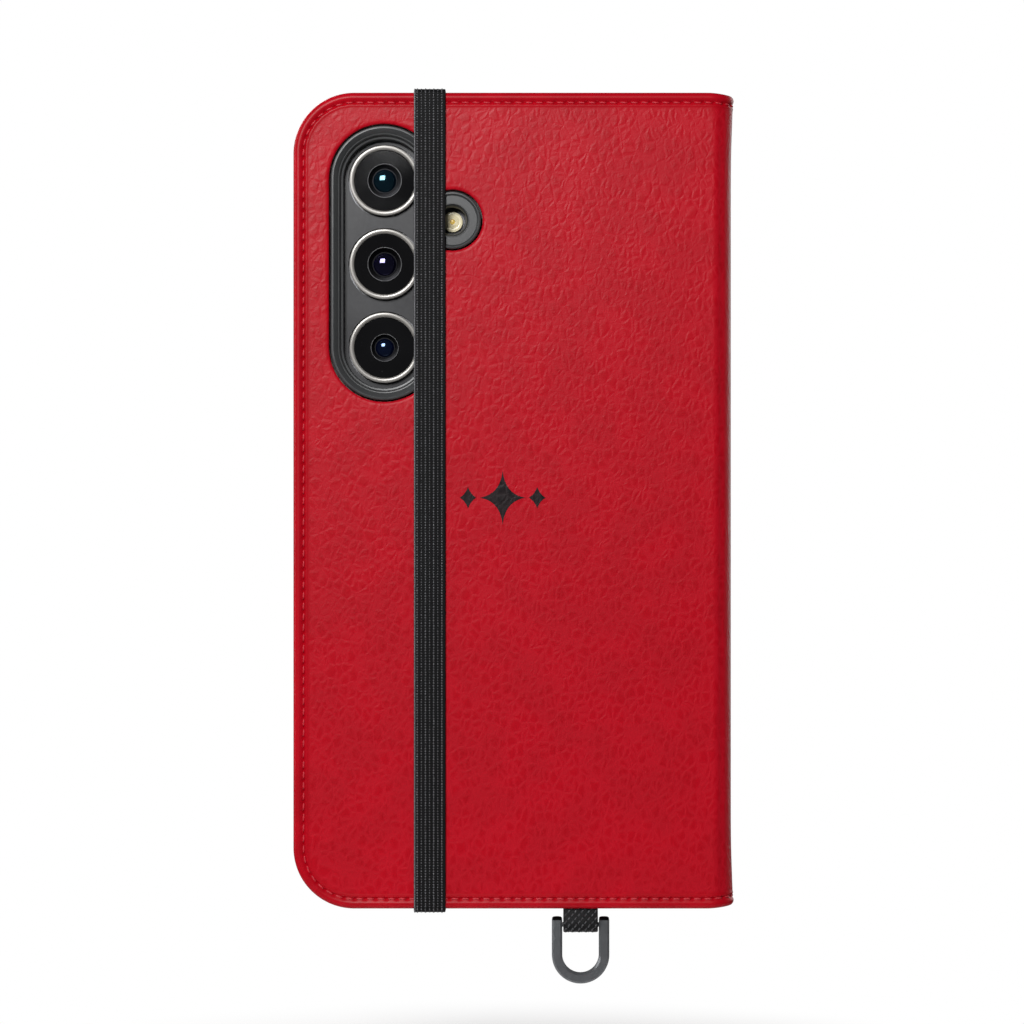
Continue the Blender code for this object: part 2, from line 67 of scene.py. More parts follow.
SHARP = 38  # degrees; an edge that turns more is drawn sharp


def box(node):
    """A CAD node's lowest and highest corner, in millimetres."""
    return tuple(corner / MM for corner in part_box(node))


# Places that the frame gives
SKIN_LOW, SKIN_HIGH = box("back_skin")
SPINE_LOW, SPINE_HIGH = box("spine_skin")
LEFT, TOP = SKIN_LOW.x, SKIN_HIGH.z
PAN = SKIN_HIGH.y
BEND_X = SPINE_LOW.x
BEND_R = SPINE_HIGH.x - SPINE_LOW.x
THICK = SPINE_HIGH.y
LINING_LOW, LINING_HIGH = box("back_lining")
SHELL_LOW, SHELL_HIGH = box("phone_shell")
TRAY_Y = PAN + 0.3  # outer face of the holder's floor
CHASSIS_LOW, CHASSIS_HIGH = box("phone_chassis")
SCREEN_LOW, SCREEN_HIGH = box("phone_screen")
BAND_LOW, BAND_HIGH = box("elastic_band")
TAB_LOW, TAB_HIGH = box("strap_tab")
RING_LOW, RING_HIGH = box("ring_shackle")
BAR_LOW, BAR_HIGH = box("ring_bar")


def middle(node):
    low, high = box(node)
    return (low + high) / 2


LENSES = [middle(f"lens_ring_{i}") for i in (1, 2, 3)]
FLASH = middle("flash_lens")
LENS_X = LENSES[0].x
EYES = (3.45, 3.45, 2.8)  # the clear part of each lens
PHONE_CORNER = 9.8

# Cover sheets
COVER_CORNER = 12.2
LEATHER = 0.9
BEND_LENGTH = BEND_R * math.pi / 2
SHEET_END = BEND_X + BEND_LENGTH + THICK / 2 - BEND_R  # middle of the spine
STITCH_INSET = 1.98
STITCH_PITCH = 2.13
STATIONS_PER_STITCH = 8
FLAT_INSET = 3.6  # where the worked border ends
GRID_FROM = BEND_X - 3.0  # the sheet is a grid from here to the spine
WINDOW_HALF = 11.1
WINDOW_EAR = 6.14
WINDOW_STEPS = 40
GRID_ROWS = 72
FILL_STEP = 3.0  # between the points of the flat part
FILL_INSET = 5.4
WINDOW_MARGIN = 1.4
FIT = 0.3
FLOOR_DROP = 28
FLOOR_HALF = 9000


# Meshes


def new_mesh(name, points, faces, material, sharp=SHARP, uv=None, outward=True, panel=None):
    """A closed piece from points in millimetres, its faces turned outwards."""
    mesh = bpy.data.meshes.new(name)
    mesh.from_pydata((np.asarray(points, float) * MM).tolist(), [], faces)
    if uv is not None:
        layer = mesh.uv_layers.new(name="UVMap")
        corners = np.empty(len(mesh.loops), np.int32)
        mesh.loops.foreach_get("vertex_index", corners)
        layer.data.foreach_set("uv", (np.asarray(uv)[corners] * MM).astype(np.float32).ravel())
    if panel is not None:
        set_panel(mesh, panel.astype(np.float32))
    if outward:
        work = bmesh.new()
        work.from_mesh(mesh)
        bmesh.ops.recalc_face_normals(work, faces=work.faces)
        work.to_mesh(mesh)
        work.free()
    mesh.materials.append(material)
    return finish_mesh(new_object(name, mesh), sharp)


def set_panel(mesh, shares):
    """How much of the grain shows at each point: none on the rolled border."""
    mesh.attributes.new("panel", "FLOAT", "POINT").data.foreach_set("value", shares)


def new_object(name, data):
    thing = bpy.data.objects.new(name, data)
    bpy.context.scene.collection.objects.link(thing)
    return thing


def finish_mesh(thing, sharp=SHARP):
    thing.data.shade_smooth()
    thing.data.set_sharp_from_angle(angle=math.radians(sharp))
    return thing


def join(name, things):
    """Several pieces of one body made one mesh."""
    work = bmesh.new()
    materials = []
    for thing in things:
        mesh = thing.data
        slots = []
        for material in mesh.materials:
            if material not in materials:
                materials.append(material)
            slots.append(materials.index(material))
        before = len(work.faces)
        work.from_mesh(mesh)
        work.faces.ensure_lookup_table()
        for face in work.faces[before:]:
            face.material_index = slots[face.material_index]
        bpy.data.objects.remove(thing)
    mesh = bpy.data.meshes.new(name)
    work.to_mesh(mesh)
    work.free()
    for material in materials:
        mesh.materials.append(material)
    return new_object(name, mesh)


def applied(thing):
    """The piece with its modifiers worked into its mesh."""
    graph = bpy.context.evaluated_depsgraph_get()
    mesh = bpy.data.meshes.new_from_object(thing.evaluated_get(graph))
    thing.modifiers.clear()
    thing.data = mesh
    return thing


def cut(thing, cutters, sharp=35):
    for cutter in cutters:
        modifier = thing.modifiers.new(cutter.name, "BOOLEAN")
        modifier.object = cutter
        modifier.solver = "EXACT"
    applied(thing)
    for cutter in cutters:
        bpy.data.objects.remove(cutter)
    return finish_mesh(thing, sharp)


def arc(center, radius, start, end, steps):
    """Points along an arc, its angles in degrees."""
    turns = np.radians(np.linspace(start, end, steps + 1))
    return [(center[0] + radius * math.cos(a), center[1] + radius * math.sin(a)) for a in turns]


def rounded_box(low, high, radius, steps=12):
    (x0, z0), (x1, z1) = low, high
    corners = (
        ((x1 - radius, z0 + radius), -90),
        ((x1 - radius, z1 - radius), 0),
        ((x0 + radius, z1 - radius), 90),
        ((x0 + radius, z0 + radius), 180),
    )
    return [p for center, start in corners for p in arc(center, radius, start, start + 90, steps)]


def loft(name, rings, material, sharp=SHARP):
    """Rings of like points joined in order and capped at both ends."""
    count, last = len(rings[0]), (len(rings) - 1) * len(rings[0])
    points = [p for ring in rings for p in ring]
    faces = []
    for a in range(0, last, count):
        for j in range(count):
            k = (j + 1) % count
            faces.append((a + j, a + k, a + count + k, a + count + j))
    faces.append(tuple(range(count)))
    faces.append(tuple(range(last, last + count)))
    return new_mesh(name, points, faces, material, sharp)


def standing(outline, y):
    """An outline in X and Z as points at this depth."""
    return [(x, y, z) for x, z in outline]


def sideways(outline, x):
    """An outline in Y and Z as points at this X."""
    return [(x, y, z) for y, z in outline]


def level(outline, z):
    """An outline in X and Y as points at this height."""
    return [(x, y, z) for x, y in outline]


def prism(name, outline, put, places, material):
    """One outline lofted between two places."""
    return loft(name, [put(outline, place) for place in places], material)


def settle(thing, body, slot, *nodes):
    """The piece rides a body and stands for the CAD nodes named; its slot is not used."""
    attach(thing, body)
    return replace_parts(thing, *nodes) if nodes else thing


def turned(name, profile, center, material, steps=96, along=1, sharp=SHARP):
    """A (radius, place along the axis) profile turned about the Y or X axis through a point."""
    points, faces, rows = [], [], []
    turns = np.linspace(0, 2 * math.pi, steps, endpoint=False)
    for radius, place in profile:
        here = []
        for turn in turns if radius > 0 else [0]:
            u, v = radius * math.cos(turn), radius * math.sin(turn)
            here.append(len(points))
            if along == 1:
                points.append((center[0] + u, place, center[2] + v))
            else:
                points.append((place, center[1] + u, center[2] + v))
        rows.append(here)
    closed = profile[0][0] > 0 and profile[-1][0] > 0
    for i in range(len(rows) if closed else len(rows) - 1):
        low, high = rows[i], rows[(i + 1) % len(rows)]
        for j in range(steps):
            k = (j + 1) % steps
            corners = [low[j % len(low)], low[k % len(low)], high[k % len(high)], high[j % len(high)]]
            face = tuple(dict.fromkeys(corners))
            if len(face) > 2:
                faces.append(face)
    return new_mesh(name, points, faces, material, sharp)


# Cover sheets: worked flat, as a along the sheet and z, and wrapped round the spine


def smooth(x):
    x = np.clip(x, 0, 1)
    return x * x * (3 - 2 * x)


def wrap(a, z, t):
    """Points at depth t below the outer face of the back cover and its half of the spine."""
    turn = np.clip((a - BEND_X) / BEND_R, 0, math.pi / 2)
    past = np.clip(a - BEND_X - BEND_LENGTH, 0, None)
    x = np.minimum(a, BEND_X) + (BEND_R - t) * np.sin(turn)
    y = BEND_R - (BEND_R - t) * np.cos(turn) + past
    drop = 0.32 * smooth((a - BEND_X + 1) / 6) / TOP
    return np.stack([x, y, z * (1 - drop)], -1)


def cover_path():
    """Evenly spaced places on the cover's edge, from the spine round, and their inward directions."""
    top_run = SHEET_END - (LEFT + COVER_CORNER)
    corner_run = (COVER_CORNER - STITCH_INSET) * math.pi / 2
    half = top_run + corner_run + TOP - COVER_CORNER
    stitches = round(2 * half / STITCH_PITCH / 2) * 2
    run = np.linspace(0, half, stitches // 2 * STATIONS_PER_STITCH + 1)
    turn = math.pi / 2 + np.clip((run - top_run) / corner_run, 0, 1) * math.pi / 2
    x = np.where(run < top_run, SHEET_END - run, LEFT + COVER_CORNER + COVER_CORNER * np.cos(turn))
    z = np.where(run < top_run, TOP, TOP - COVER_CORNER + COVER_CORNER * np.sin(turn))
    z = z - np.clip(run - top_run - corner_run, 0, None)
    edge = np.stack([x, z], 1)
    inward = np.stack([-np.cos(turn), -np.sin(turn)], 1)
    flip = np.array([1, -1])
    edge = np.concatenate([edge, (edge * flip)[-2::-1]])
    inward = np.concatenate([inward, (inward * flip)[-2::-1]])
    return edge, inward


EDGE, INWARD = cover_path()
STATIONS = len(EDGE)


def window_outline(grow):
    """The camera slot joined with the flash's round ear."""
    half, ear = WINDOW_HALF + grow, WINDOW_EAR + grow
    meet = math.degrees(math.acos((LENS_X + half - FLASH.x) / ear))
    return slot_outline(half) + arc((FLASH.x, FLASH.z), ear, -meet, meet, WINDOW_STEPS)


def slot_outline(half):
    """The upright slot round the three lenses."""
    top = arc((LENS_X, LENSES[0].z), half, 0, 180, WINDOW_STEPS)
    return top + arc((LENS_X, LENSES[2].z), half, 180, 360, WINDOW_STEPS)


def inside(x, z, outline):
    """Whether points lie in an outline."""
    hit = np.zeros(len(x), bool)
    for (x0, z0), (x1, z1) in zip(outline, outline[1:] + outline[:1]):
        crosses = (z0 > z) != (z1 > z)
        at = x0 + (z - z0) * (x1 - x0) / ((z1 - z0) or 1e-9)
        hit ^= crosses & (x < at)
    return hit


def spine_relief(a, z):
    """How far the worked leather of the bend sinks: a raised fold, a pressed hinge line and flared ends."""
    past = a - BEND_X
    fold = -0.05 * np.exp(-(((past - 0.9) / 0.7) ** 2))
    hinge = 0.10 * np.exp(-(((past - 2.15) / 0.55) ** 2))
    ends = smooth((TOP - 2.5 - np.abs(z)) / 3)
    flare = -0.4 * smooth(past / BEND_LENGTH) * np.exp(-(((TOP - np.abs(z)) / 9) ** 2))
    return (fold + hinge) * ends + flare


def make_sheet(name, profile, material, window=None, mirror=False, relief=None, swell=0.0):
    """A sheet with a worked border.

    The profile goes from one face's flat to the other's. Each row is an inset, a depth and the inset
    when unrolled, and on the seam also how deep a stitch hole goes.
    """
    points, uvs, panels = [], [], []

    def add(a, z, t, u=None, v=None, panel=1.0):
        a, z, t = np.broadcast_arrays(np.asarray(a, float), np.asarray(z, float), np.asarray(t, float))
        if relief is not None:
            t = t + relief(a, z)
        first = sum(len(p) for p in points)
        points.append(wrap(a, z, t))
        uvs.append(np.stack([a if u is None else u, z if v is None else v], -1))
        panels.append(np.full(len(a), panel))
        return np.arange(first, first + len(a))

    faces = []
    from_hole = (np.arange(STATIONS) / STATIONS_PER_STITCH % 1 - 0.5) * STITCH_PITCH
    holes = np.exp(-((from_hole / 0.34) ** 2))
    rings = []
    for inset, depth, unrolled, *dent in profile:
        at = EDGE + inset * INWARD
        flat = EDGE + unrolled * INWARD
        dents = (dent[0] if dent else 0) * holes
        worked = float(smooth((unrolled - 2.7) / 0.8))
        rings.append(add(at[:, 0], at[:, 1], depth + dents, flat[:, 0], flat[:, 1], worked))
    for low, high in zip(rings, rings[1:]):
        faces += np.stack([low[:-1], low[1:], high[1:], high[:-1]], 1).tolist()
    columns = int((EDGE[:, 0] >= GRID_FROM).sum() // 2)
    across = np.linspace(0, 1, GRID_ROWS + 1)
    at = EDGE + profile[0][0] * INWARD
    loop_top, loop_low = at[:columns], at[::-1][:columns]
    grids = []
    for ring, (_, depth, *_) in ((rings[0], profile[0]), (rings[-1], profile[-1])):
        grid = np.empty((columns, GRID_ROWS + 1), int)
        grid[:, 0], grid[:, -1] = ring[:columns], ring[::-1][:columns]
        for j in range(columns):
            z = loop_top[j, 1] + (loop_low[j, 1] - loop_top[j, 1]) * across[1:-1]
            grid[j, 1:-1] = add(np.full(GRID_ROWS - 1, loop_top[j, 0]), z, depth)
        a, b, c, d = grid[:-1, :-1], grid[1:, :-1], grid[1:, 1:], grid[:-1, 1:]
        faces += np.stack([a, b, c, d], -1).reshape(-1, 4).tolist()
        grids.append(grid)
    end = [g[0] for g in grids]
    faces += np.stack([end[0][:-1], end[0][1:], end[1][1:], end[1][:-1]], 1).tolist()
    faces += [[int(ring[0]) for ring in rings], [int(ring[-1]) for ring in rings]]

    # The flat part, filled between the border, the grid and the window
    open_edge = slice(columns - 1, STATIONS - columns + 1)
    border = at[open_edge]
    (column_x, from_z), to_z = border[0], border[-1, 1]
    column_z = from_z + (to_z - from_z) * across[1:-1]
    column = np.stack([np.full(GRID_ROWS - 1, column_x), column_z], 1)
    loop = np.concatenate([border, column[::-1]])
    x, z = np.meshgrid(
        np.arange(LEFT + 2 * FILL_STEP, column_x - 1, FILL_STEP),
        np.arange(-TOP + 2 * FILL_STEP, TOP - 5, FILL_STEP),
    )
    free = np.stack([x.ravel(), z.ravel()], 1)
    shrunk = [(p[0], p[1]) for p in EDGE[open_edge] + FILL_INSET * INWARD[open_edge]]
    free = free[inside(free[:, 0], free[:, 1], shrunk)]
    outline = []
    if window:
        outline = window_outline(window[0][0])
        around = window_outline(window[0][0] + WINDOW_MARGIN)
        free = free[~inside(free[:, 0], free[:, 1], around)]
    sources = [loop, free, np.array(outline).reshape(-1, 2)]
    flat = [Vector(p) for p in np.concatenate(sources)]
    starts = np.cumsum([0] + [len(s) for s in sources])
    edges = [(i, (i + 1) % len(loop)) for i in range(len(loop))]
    edges += [(starts[2] + i, starts[2] + (i + 1) % len(outline)) for i in range(len(outline))]
    _, _, triangles, origins, *_ = geometry.delaunay_2d_cdt(flat, edges, [], 1, 1e-5)
    triangles = np.array(triangles)
    index = np.array([o[0] for o in origins])[triangles]
    center = np.array([list(p) for p in flat])[index].mean(1)
    if window:
        index = index[~inside(center[:, 0], center[:, 1], outline)]
    lift = np.array([noise.noise((p[0] / 15, p[1] / 15, 3.7)) for p in free]) * swell
    cut_rings = [[], []]
    sides = ((rings[0], grids[0], profile[0][1]), (rings[-1], grids[1], profile[-1][1]))
    for side, (ring, grid, depth) in enumerate(sides):
        known = np.concatenate([ring[open_edge], grid[-1, 1:-1][::-1]])
        inner = add(free[:, 0], free[:, 1], depth + (lift if side == 0 else 0 * lift))
        rim = np.empty(0, int)
        if window:
            spots = np.array(outline)
            rim = add(spots[:, 0], spots[:, 1], depth)
            cut_rings[side] = rim
        faces += np.concatenate([known, inner, rim])[index].tolist()
    if window:
        walls = [cut_rings[0]]
        for grow, depth in window[1:]:
            spots = np.array(window_outline(grow))
            walls.append(add(spots[:, 0], spots[:, 1], depth))
        walls.append(cut_rings[1])
        for low, high in zip(walls, walls[1:]):
            faces += np.stack([low, np.roll(low, -1), np.roll(high, -1), high], 1).tolist()
    points = np.concatenate(points)
    uvs = np.concatenate(uvs)
    if mirror:
        points[:, 1] = THICK - points[:, 1]
        uvs[:, 0] = 2 * SHEET_END - uvs[:, 0]
    return new_mesh(name, points, faces, material, 50, uvs, panel=np.concatenate(panels))


def stitch_line(depth, relief=None, mirror=False):
    """A point for each stitch along the border."""
    at = (EDGE + STITCH_INSET * INWARD)[::STATIONS_PER_STITCH]
    t = np.full(len(at), float(depth))
    if relief is not None:
        t = t + relief(at[:, 0], at[:, 1])
    points = wrap(at[:, 0], at[:, 1], t)
    if mirror:
        points[:, 1] = THICK - points[:, 1]
    return points


# Node trees


def add_node(tree, kind, inputs=None, **settings):
    node = tree.nodes.new(kind)
    for key, value in settings.items():
        setattr(node, key, value)
    for key, value in (inputs or {}).items():
        if isinstance(value, bpy.types.NodeSocket):
            tree.links.new(value, node.inputs[key])
        else:
            node.inputs[key].default_value = value
    return node


def calc(tree, operation, a, b=0.0, c=0.0, clamp=False):
    node = add_node(tree, "ShaderNodeMath", {0: a, 1: b, 2: c}, operation=operation, use_clamp=clamp)
    return node.outputs[0]


def times(tree, a, b, clamp=False):
    return calc(tree, "MULTIPLY", a, b, clamp=clamp)


def times_plus(tree, a, b, c):
    return calc(tree, "MULTIPLY_ADD", a, b, c)


def ramp(tree, value, low, high, to_low=0.0, to_high=1.0, kind="SMOOTHSTEP"):
    settings = {"Value": value, "From Min": low, "From Max": high, "To Min": to_low, "To Max": to_high}
    return add_node(tree, "ShaderNodeMapRange", settings, interpolation_type=kind).outputs[0]


def noise_field(tree, vector, scale, detail):
    return add_node(tree, "ShaderNodeTexNoise", {"Vector": vector, "Scale": scale, "Detail": detail}).outputs


def combine(tree, **axes):
    return add_node(tree, "ShaderNodeCombineXYZ", axes).outputs[0]


def blend_color(tree, share, a, b):
    node = add_node(tree, "ShaderNodeMix", data_type="RGBA", blend_type="MIX")
    for socket, value in ((node.inputs["Factor"], share), (node.inputs[6], a), (node.inputs[7], b)):
        if isinstance(value, bpy.types.NodeSocket):
            tree.links.new(value, socket)
        else:
            socket.default_value = value
    return node.outputs[2]


def new_group(name, inputs, outputs, kind="ShaderNodeTree"):
    """A node group with named sockets, its input node's outputs and its output node."""
    tree = bpy.data.node_groups.new(name, kind)
    for label, socket, value in inputs:
        made = tree.interface.new_socket(label, in_out="INPUT", socket_type=socket)
        if value is not None:
            made.default_value = value
    for label, socket in outputs:
        tree.interface.new_socket(label, in_out="OUTPUT", socket_type=socket)
    return tree, tree.nodes.new("NodeGroupInput").outputs, tree.nodes.new("NodeGroupOutput")


def give(tree, out, **results):
    """Joins a group's results to its output node."""
    for label, source in results.items():
        tree.links.new(source, out.inputs[label])
    return tree


FLOAT, VECTOR, INT = "NodeSocketFloat", "NodeSocketVector", "NodeSocketInt"


def leather_grain_group():
    """Pebbled leather: soft cells of two sizes, creases between them and fine pores."""
    tree, given, out = new_group(
        "leather_grain",
        [("Vector", VECTOR, None), ("Cells per metre", FLOAT, 420.0), ("Warp", FLOAT, 0.0018)],
        [("Height", FLOAT), ("Crease", FLOAT), ("Tone", FLOAT)],
    )
    vector, cells = given["Vector"], given["Cells per metre"]
    cloud = noise_field(tree, vector, 420.0, 3.0)["Color"]
    center = {0: cloud, 1: (0.5, 0.5, 0.5)}
    centered = add_node(tree, "ShaderNodeVectorMath", center, operation="SUBTRACT").outputs[0]
    share = {0: centered, 3: given["Warp"]}
    moved = add_node(tree, "ShaderNodeVectorMath", share, operation="SCALE").outputs[0]
    warped = add_node(tree, "ShaderNodeVectorMath", {0: vector, 1: moved}, operation="ADD").outputs[0]
    lean = {"Vector": warped, "Rotation": (0, 0, math.radians(32)), "Scale": (1.25, 0.85, 1.0)}
    stretched = add_node(tree, "ShaderNodeMapping", lean).outputs[0]

    def edge_distance(scale):
        cell = {"Vector": stretched, "Scale": scale}
        return add_node(tree, "ShaderNodeTexVoronoi", cell, feature="DISTANCE_TO_EDGE").outputs["Distance"]

    large, small = edge_distance(cells), edge_distance(times(tree, cells, 2.1))
    patches = noise_field(tree, vector, 110.0, 1.0)["Fac"]
    fine = noise_field(tree, vector, 2600.0, 2.0)["Fac"]
    where = ramp(tree, patches, 0.42, 0.62)
    little = times(tree, calc(tree, "SUBTRACT", 1.0, ramp(tree, small, 0.0, 0.3)), where)
    crease = times(tree, ramp(tree, large, 0.0, 0.32), times_plus(tree, little, -0.55, 1.0))
    pillow = calc(tree, "POWER", times(tree, large, 1.6, clamp=True), 0.5)
    height = times_plus(tree, crease, 0.55, times(tree, pillow, 0.45))
    height = times_plus(tree, fine, 0.25, height)
    return give(tree, out, Height=height, Crease=calc(tree, "SUBTRACT", 1.0, crease), Tone=patches)


def fine_surface_group():
    """Moulded or sprayed surface: a fine even grain, and slow unevenness for its gloss."""
    tree, given, out = new_group(
        "fine_surface",
        [("Vector", VECTOR, None), ("Grain per metre", FLOAT, 6000.0), ("Clouds per metre", FLOAT, 60.0)],
        [("Height", FLOAT), ("Clouds", FLOAT)],
    )
    grain = noise_field(tree, given["Vector"], given["Grain per metre"], 2.0)["Fac"]
    clouds = noise_field(tree, given["Vector"], given["Clouds per metre"], 3.0)["Fac"]
    return give(tree, out, Height=grain, Clouds=clouds)


def cloth_group():
    """Fine woven cloth: threads crossing over and under, with a little fuzz."""
    tree, given, out = new_group(
        "cloth_weave",
        [("Vector", VECTOR, None), ("Threads per metre", FLOAT, 2400.0)],
        [("Height", FLOAT), ("Shade", FLOAT)],
    )
    parts = add_node(tree, "ShaderNodeSeparateXYZ", {0: given["Vector"]}).outputs
    turns = times(tree, given["Threads per metre"], math.pi)
    waves = [calc(tree, "SINE", times(tree, parts[i], turns)) for i in (0, 2)]
    over = times(tree, waves[0], waves[1])
    fuzz = noise_field(tree, given["Vector"], 3500.0, 3.0)["Fac"]
    height = times_plus(tree, fuzz, 0.8, times(tree, over, 0.35))
    return give(tree, out, Height=height, Shade=ramp(tree, fuzz, 0.3, 0.7))


def wear_group():
    """Rubbed edges: where the surface stands out, broken up by noise."""
    tree, given, out = new_group(
        "edge_wear",
        [("Vector", VECTOR, None), ("From", FLOAT, 0.52), ("To", FLOAT, 0.6)],
        [("Wear", FLOAT)],
    )
    point = add_node(tree, "ShaderNodeNewGeometry").outputs["Pointiness"]
    edge = ramp(tree, point, given["From"], given["To"])
    broken = noise_field(tree, given["Vector"], 900.0, 3.0)["Fac"]
    return give(tree, out, Wear=times(tree, edge, ramp(tree, broken, 0.3, 0.7)))


def dust_group():
    """A few fine specks."""
    tree, given, out = new_group(
        "dust", [("Vector", VECTOR, None), ("Specks per metre", FLOAT, 900.0)], [("Speck", FLOAT)]
    )
    cells = {"Vector": given["Vector"], "Scale": given["Specks per metre"]}
    spots = add_node(tree, "ShaderNodeTexVoronoi", cells)
    pick = add_node(tree, "ShaderNodeSeparateColor", {0: spots.outputs["Color"]}).outputs[0]
    small = ramp(tree, spots.outputs["Distance"], 0.03, 0.09, 1.0, 0.0)
    return give(tree, out, Speck=times(tree, small, ramp(tree, pick, 0.9, 0.93)))


GRAIN = leather_grain_group()
FINE = fine_surface_group()
CLOTH = cloth_group()
WEAR = wear_group()
DUST = dust_group()


class Finish:
    """A material being made: its tree, its shader and its coordinates."""

    def __init__(self, name, **sockets):
        self.material = bpy.data.materials.new(name)
        self.material.use_nodes = True
        self.tree = self.material.node_tree
        self.shader = self.tree.nodes["Principled BSDF"]
        for label, value in sockets.items():
            self.shader.inputs[label.replace("_", " ")].default_value = value
        self.place = add_node(self.tree, "ShaderNodeTexCoord").outputs["Object"]

    def use(self, group, **values):
        node = add_node(self.tree, "ShaderNodeGroup", node_tree=group)
        self.tree.links.new(values.pop("at", self.place), node.inputs["Vector"])
        for label, value in values.items():
            node.inputs[label.replace("_", " ")].default_value = value
        return node.outputs

    def feed(self, label, source):
        self.tree.links.new(source, self.shader.inputs[label])

    def bump(self, height, distance):
        relief = {"Height": height, "Distance": distance, "Strength": 1.0}
        node = add_node(self.tree, "ShaderNodeBump", relief)
        self.feed("Normal", node.outputs[0])


def linear(level):
    return level / 12.92 if level <= 0.04045 else ((level + 0.055) / 1.055) ** 2.4


def rgb(red, green, blue):
    """A colour from its 0-255 screen values."""
    return (*[linear(value / 255) for value in (red, green, blue)], 1.0)


def make_leather(name, base, dark, wear_and_highlight):
    finish = Finish(name, Specular_IOR_Level=0.13)
    tree = finish.tree
    sheet = add_node(tree, "ShaderNodeUVMap", uv_map="UVMap").outputs[0]
    panel = add_node(tree, "ShaderNodeAttribute", attribute_name="panel").outputs["Fac"]
    grain = finish.use(GRAIN, at=sheet, Cells_per_metre=520.0)
    crease = times(tree, grain["Crease"], panel)
    wear = finish.use(WEAR, From=0.53, To=0.62)["Wear"]
    dust = finish.use(DUST, at=sheet)["Speck"]
    color = blend_color(tree, ramp(tree, grain["Tone"], 0.35, 0.65, 0.0, 0.6), base, dark)
    # Painted highlight: the grain's crease lines are lightened towards the last colour, standing in for grain
    # that catches the light.
    color = blend_color(tree, times(tree, crease, 0.45), color, wear_and_highlight)
    color = blend_color(tree, times(tree, wear, 0.35), color, wear_and_highlight)
    color = blend_color(tree, times(tree, dust, 0.05), color, rgb(220, 200, 195))
    finish.feed("Base Color", color)
    rough = times_plus(tree, crease, 0.06, 0.3)
    finish.feed("Roughness", times_plus(tree, grain["Tone"], 0.08, rough))
    finish.bump(times(tree, grain["Height"], panel), 0.000042)
    return finish.material


def make_thread(name, base, light):
    finish = Finish(name, Roughness=0.55)
    tree = finish.tree
    wave = {"Vector": finish.place, "Scale": 900.0, "Distortion": 1.0}
    twist = add_node(tree, "ShaderNodeTexWave", wave, bands_direction="DIAGONAL").outputs["Fac"]
    finish.feed("Base Color", blend_color(tree, twist, base, light))
    finish.bump(twist, 0.000012)
    return finish.material


def make_cloth(name, base, light, threads, rough, sheen, specular=0.15):
    finish = Finish(
        name, Roughness=rough, Specular_IOR_Level=specular, Sheen_Weight=sheen, Sheen_Roughness=0.4
    )
    weave = finish.use(CLOTH, Threads_per_metre=threads)
    finish.feed("Base Color", blend_color(finish.tree, weave["Shade"], base, light))
    finish.bump(weave["Height"], 0.00004)
    return finish.material


def make_moulded(name, base, light, rough, distance=0.000012, **sockets):
    finish = Finish(name, **sockets)
    tree = finish.tree
    fine = finish.use(FINE)
    wear = finish.use(WEAR)["Wear"]
    dust = finish.use(DUST)["Speck"]
    color = blend_color(tree, ramp(tree, fine["Clouds"], 0.3, 0.7, 0.0, 0.35), base, light)
    color = blend_color(tree, times(tree, wear, 0.5), color, light)
    color = blend_color(tree, times(tree, dust, 0.2), color, rgb(150, 148, 145))
    finish.feed("Base Color", color)
    finish.feed("Roughness", ramp(tree, fine["Clouds"], 0.25, 0.75, rough - 0.04, rough + 0.06))
    finish.bump(fine["Height"], distance)
    return finish.material


# The last colour serves both rubbed wear and the painted highlight on the grain's crease lines.
RED = make_leather("red_leather", rgb(180, 8, 27), rgb(160, 5, 20), rgb(192, 22, 40))
RED_THREAD = make_thread("red_thread", rgb(182, 24, 40), rgb(204, 48, 60))
BLACK_THREAD = make_thread("black_thread", rgb(22, 22, 23), rgb(52, 52, 54))
LINING = make_cloth("black_lining", rgb(24, 24, 26), rgb(40, 40, 43), 1900.0, 0.8, 0.25)
BOARD = make_cloth("greyboard", rgb(120, 116, 108), rgb(146, 141, 131), 800.0, 0.9, 0.0)
ELASTIC = make_cloth("elastic_webbing", rgb(5, 5, 6), rgb(12, 12, 14), 3200.0, 0.65, 0.05)
# The ribs' light grey, mixed in by the fuzz, is a painted glint on the knit; the dark base is the elastic's own
# colour.
RIBS = make_cloth("elastic_ribs", rgb(18, 18, 20), rgb(104, 104, 108), 5200.0, 0.36, 0.0, 0.6)
# Painted highlight: the light grey of the band's edge cord stands in for the lit edge of the black elastic.
ELASTIC_EDGE_HIGHLIGHT = make_cloth("elastic_selvedge", rgb(62, 62, 65), rgb(112, 112, 116), 5200.0, 0.4, 0.0, 0.4)
WEBBING = make_cloth("tab_webbing", rgb(10, 10, 11), rgb(24, 24, 26), 2600.0, 0.6, 0.1)
# The loops' light grey, mixed in by the fuzz, is a painted glint on the black webbing; the dark base is its own
# colour.
WEB_LOOPS = make_cloth("tab_weave", rgb(14, 14, 15), rgb(84, 84, 88), 5200.0, 0.36, 0.0, 0.5)
HOLDER = make_moulded("holder_plastic", rgb(60, 61, 62), rgb(72, 73, 74), 0.36, Specular_IOR_Level=0.45)
GUNMETAL = make_moulded("gunmetal", rgb(100, 102, 105), rgb(124, 126, 129), 0.24, 0.000003, Metallic=0.5)
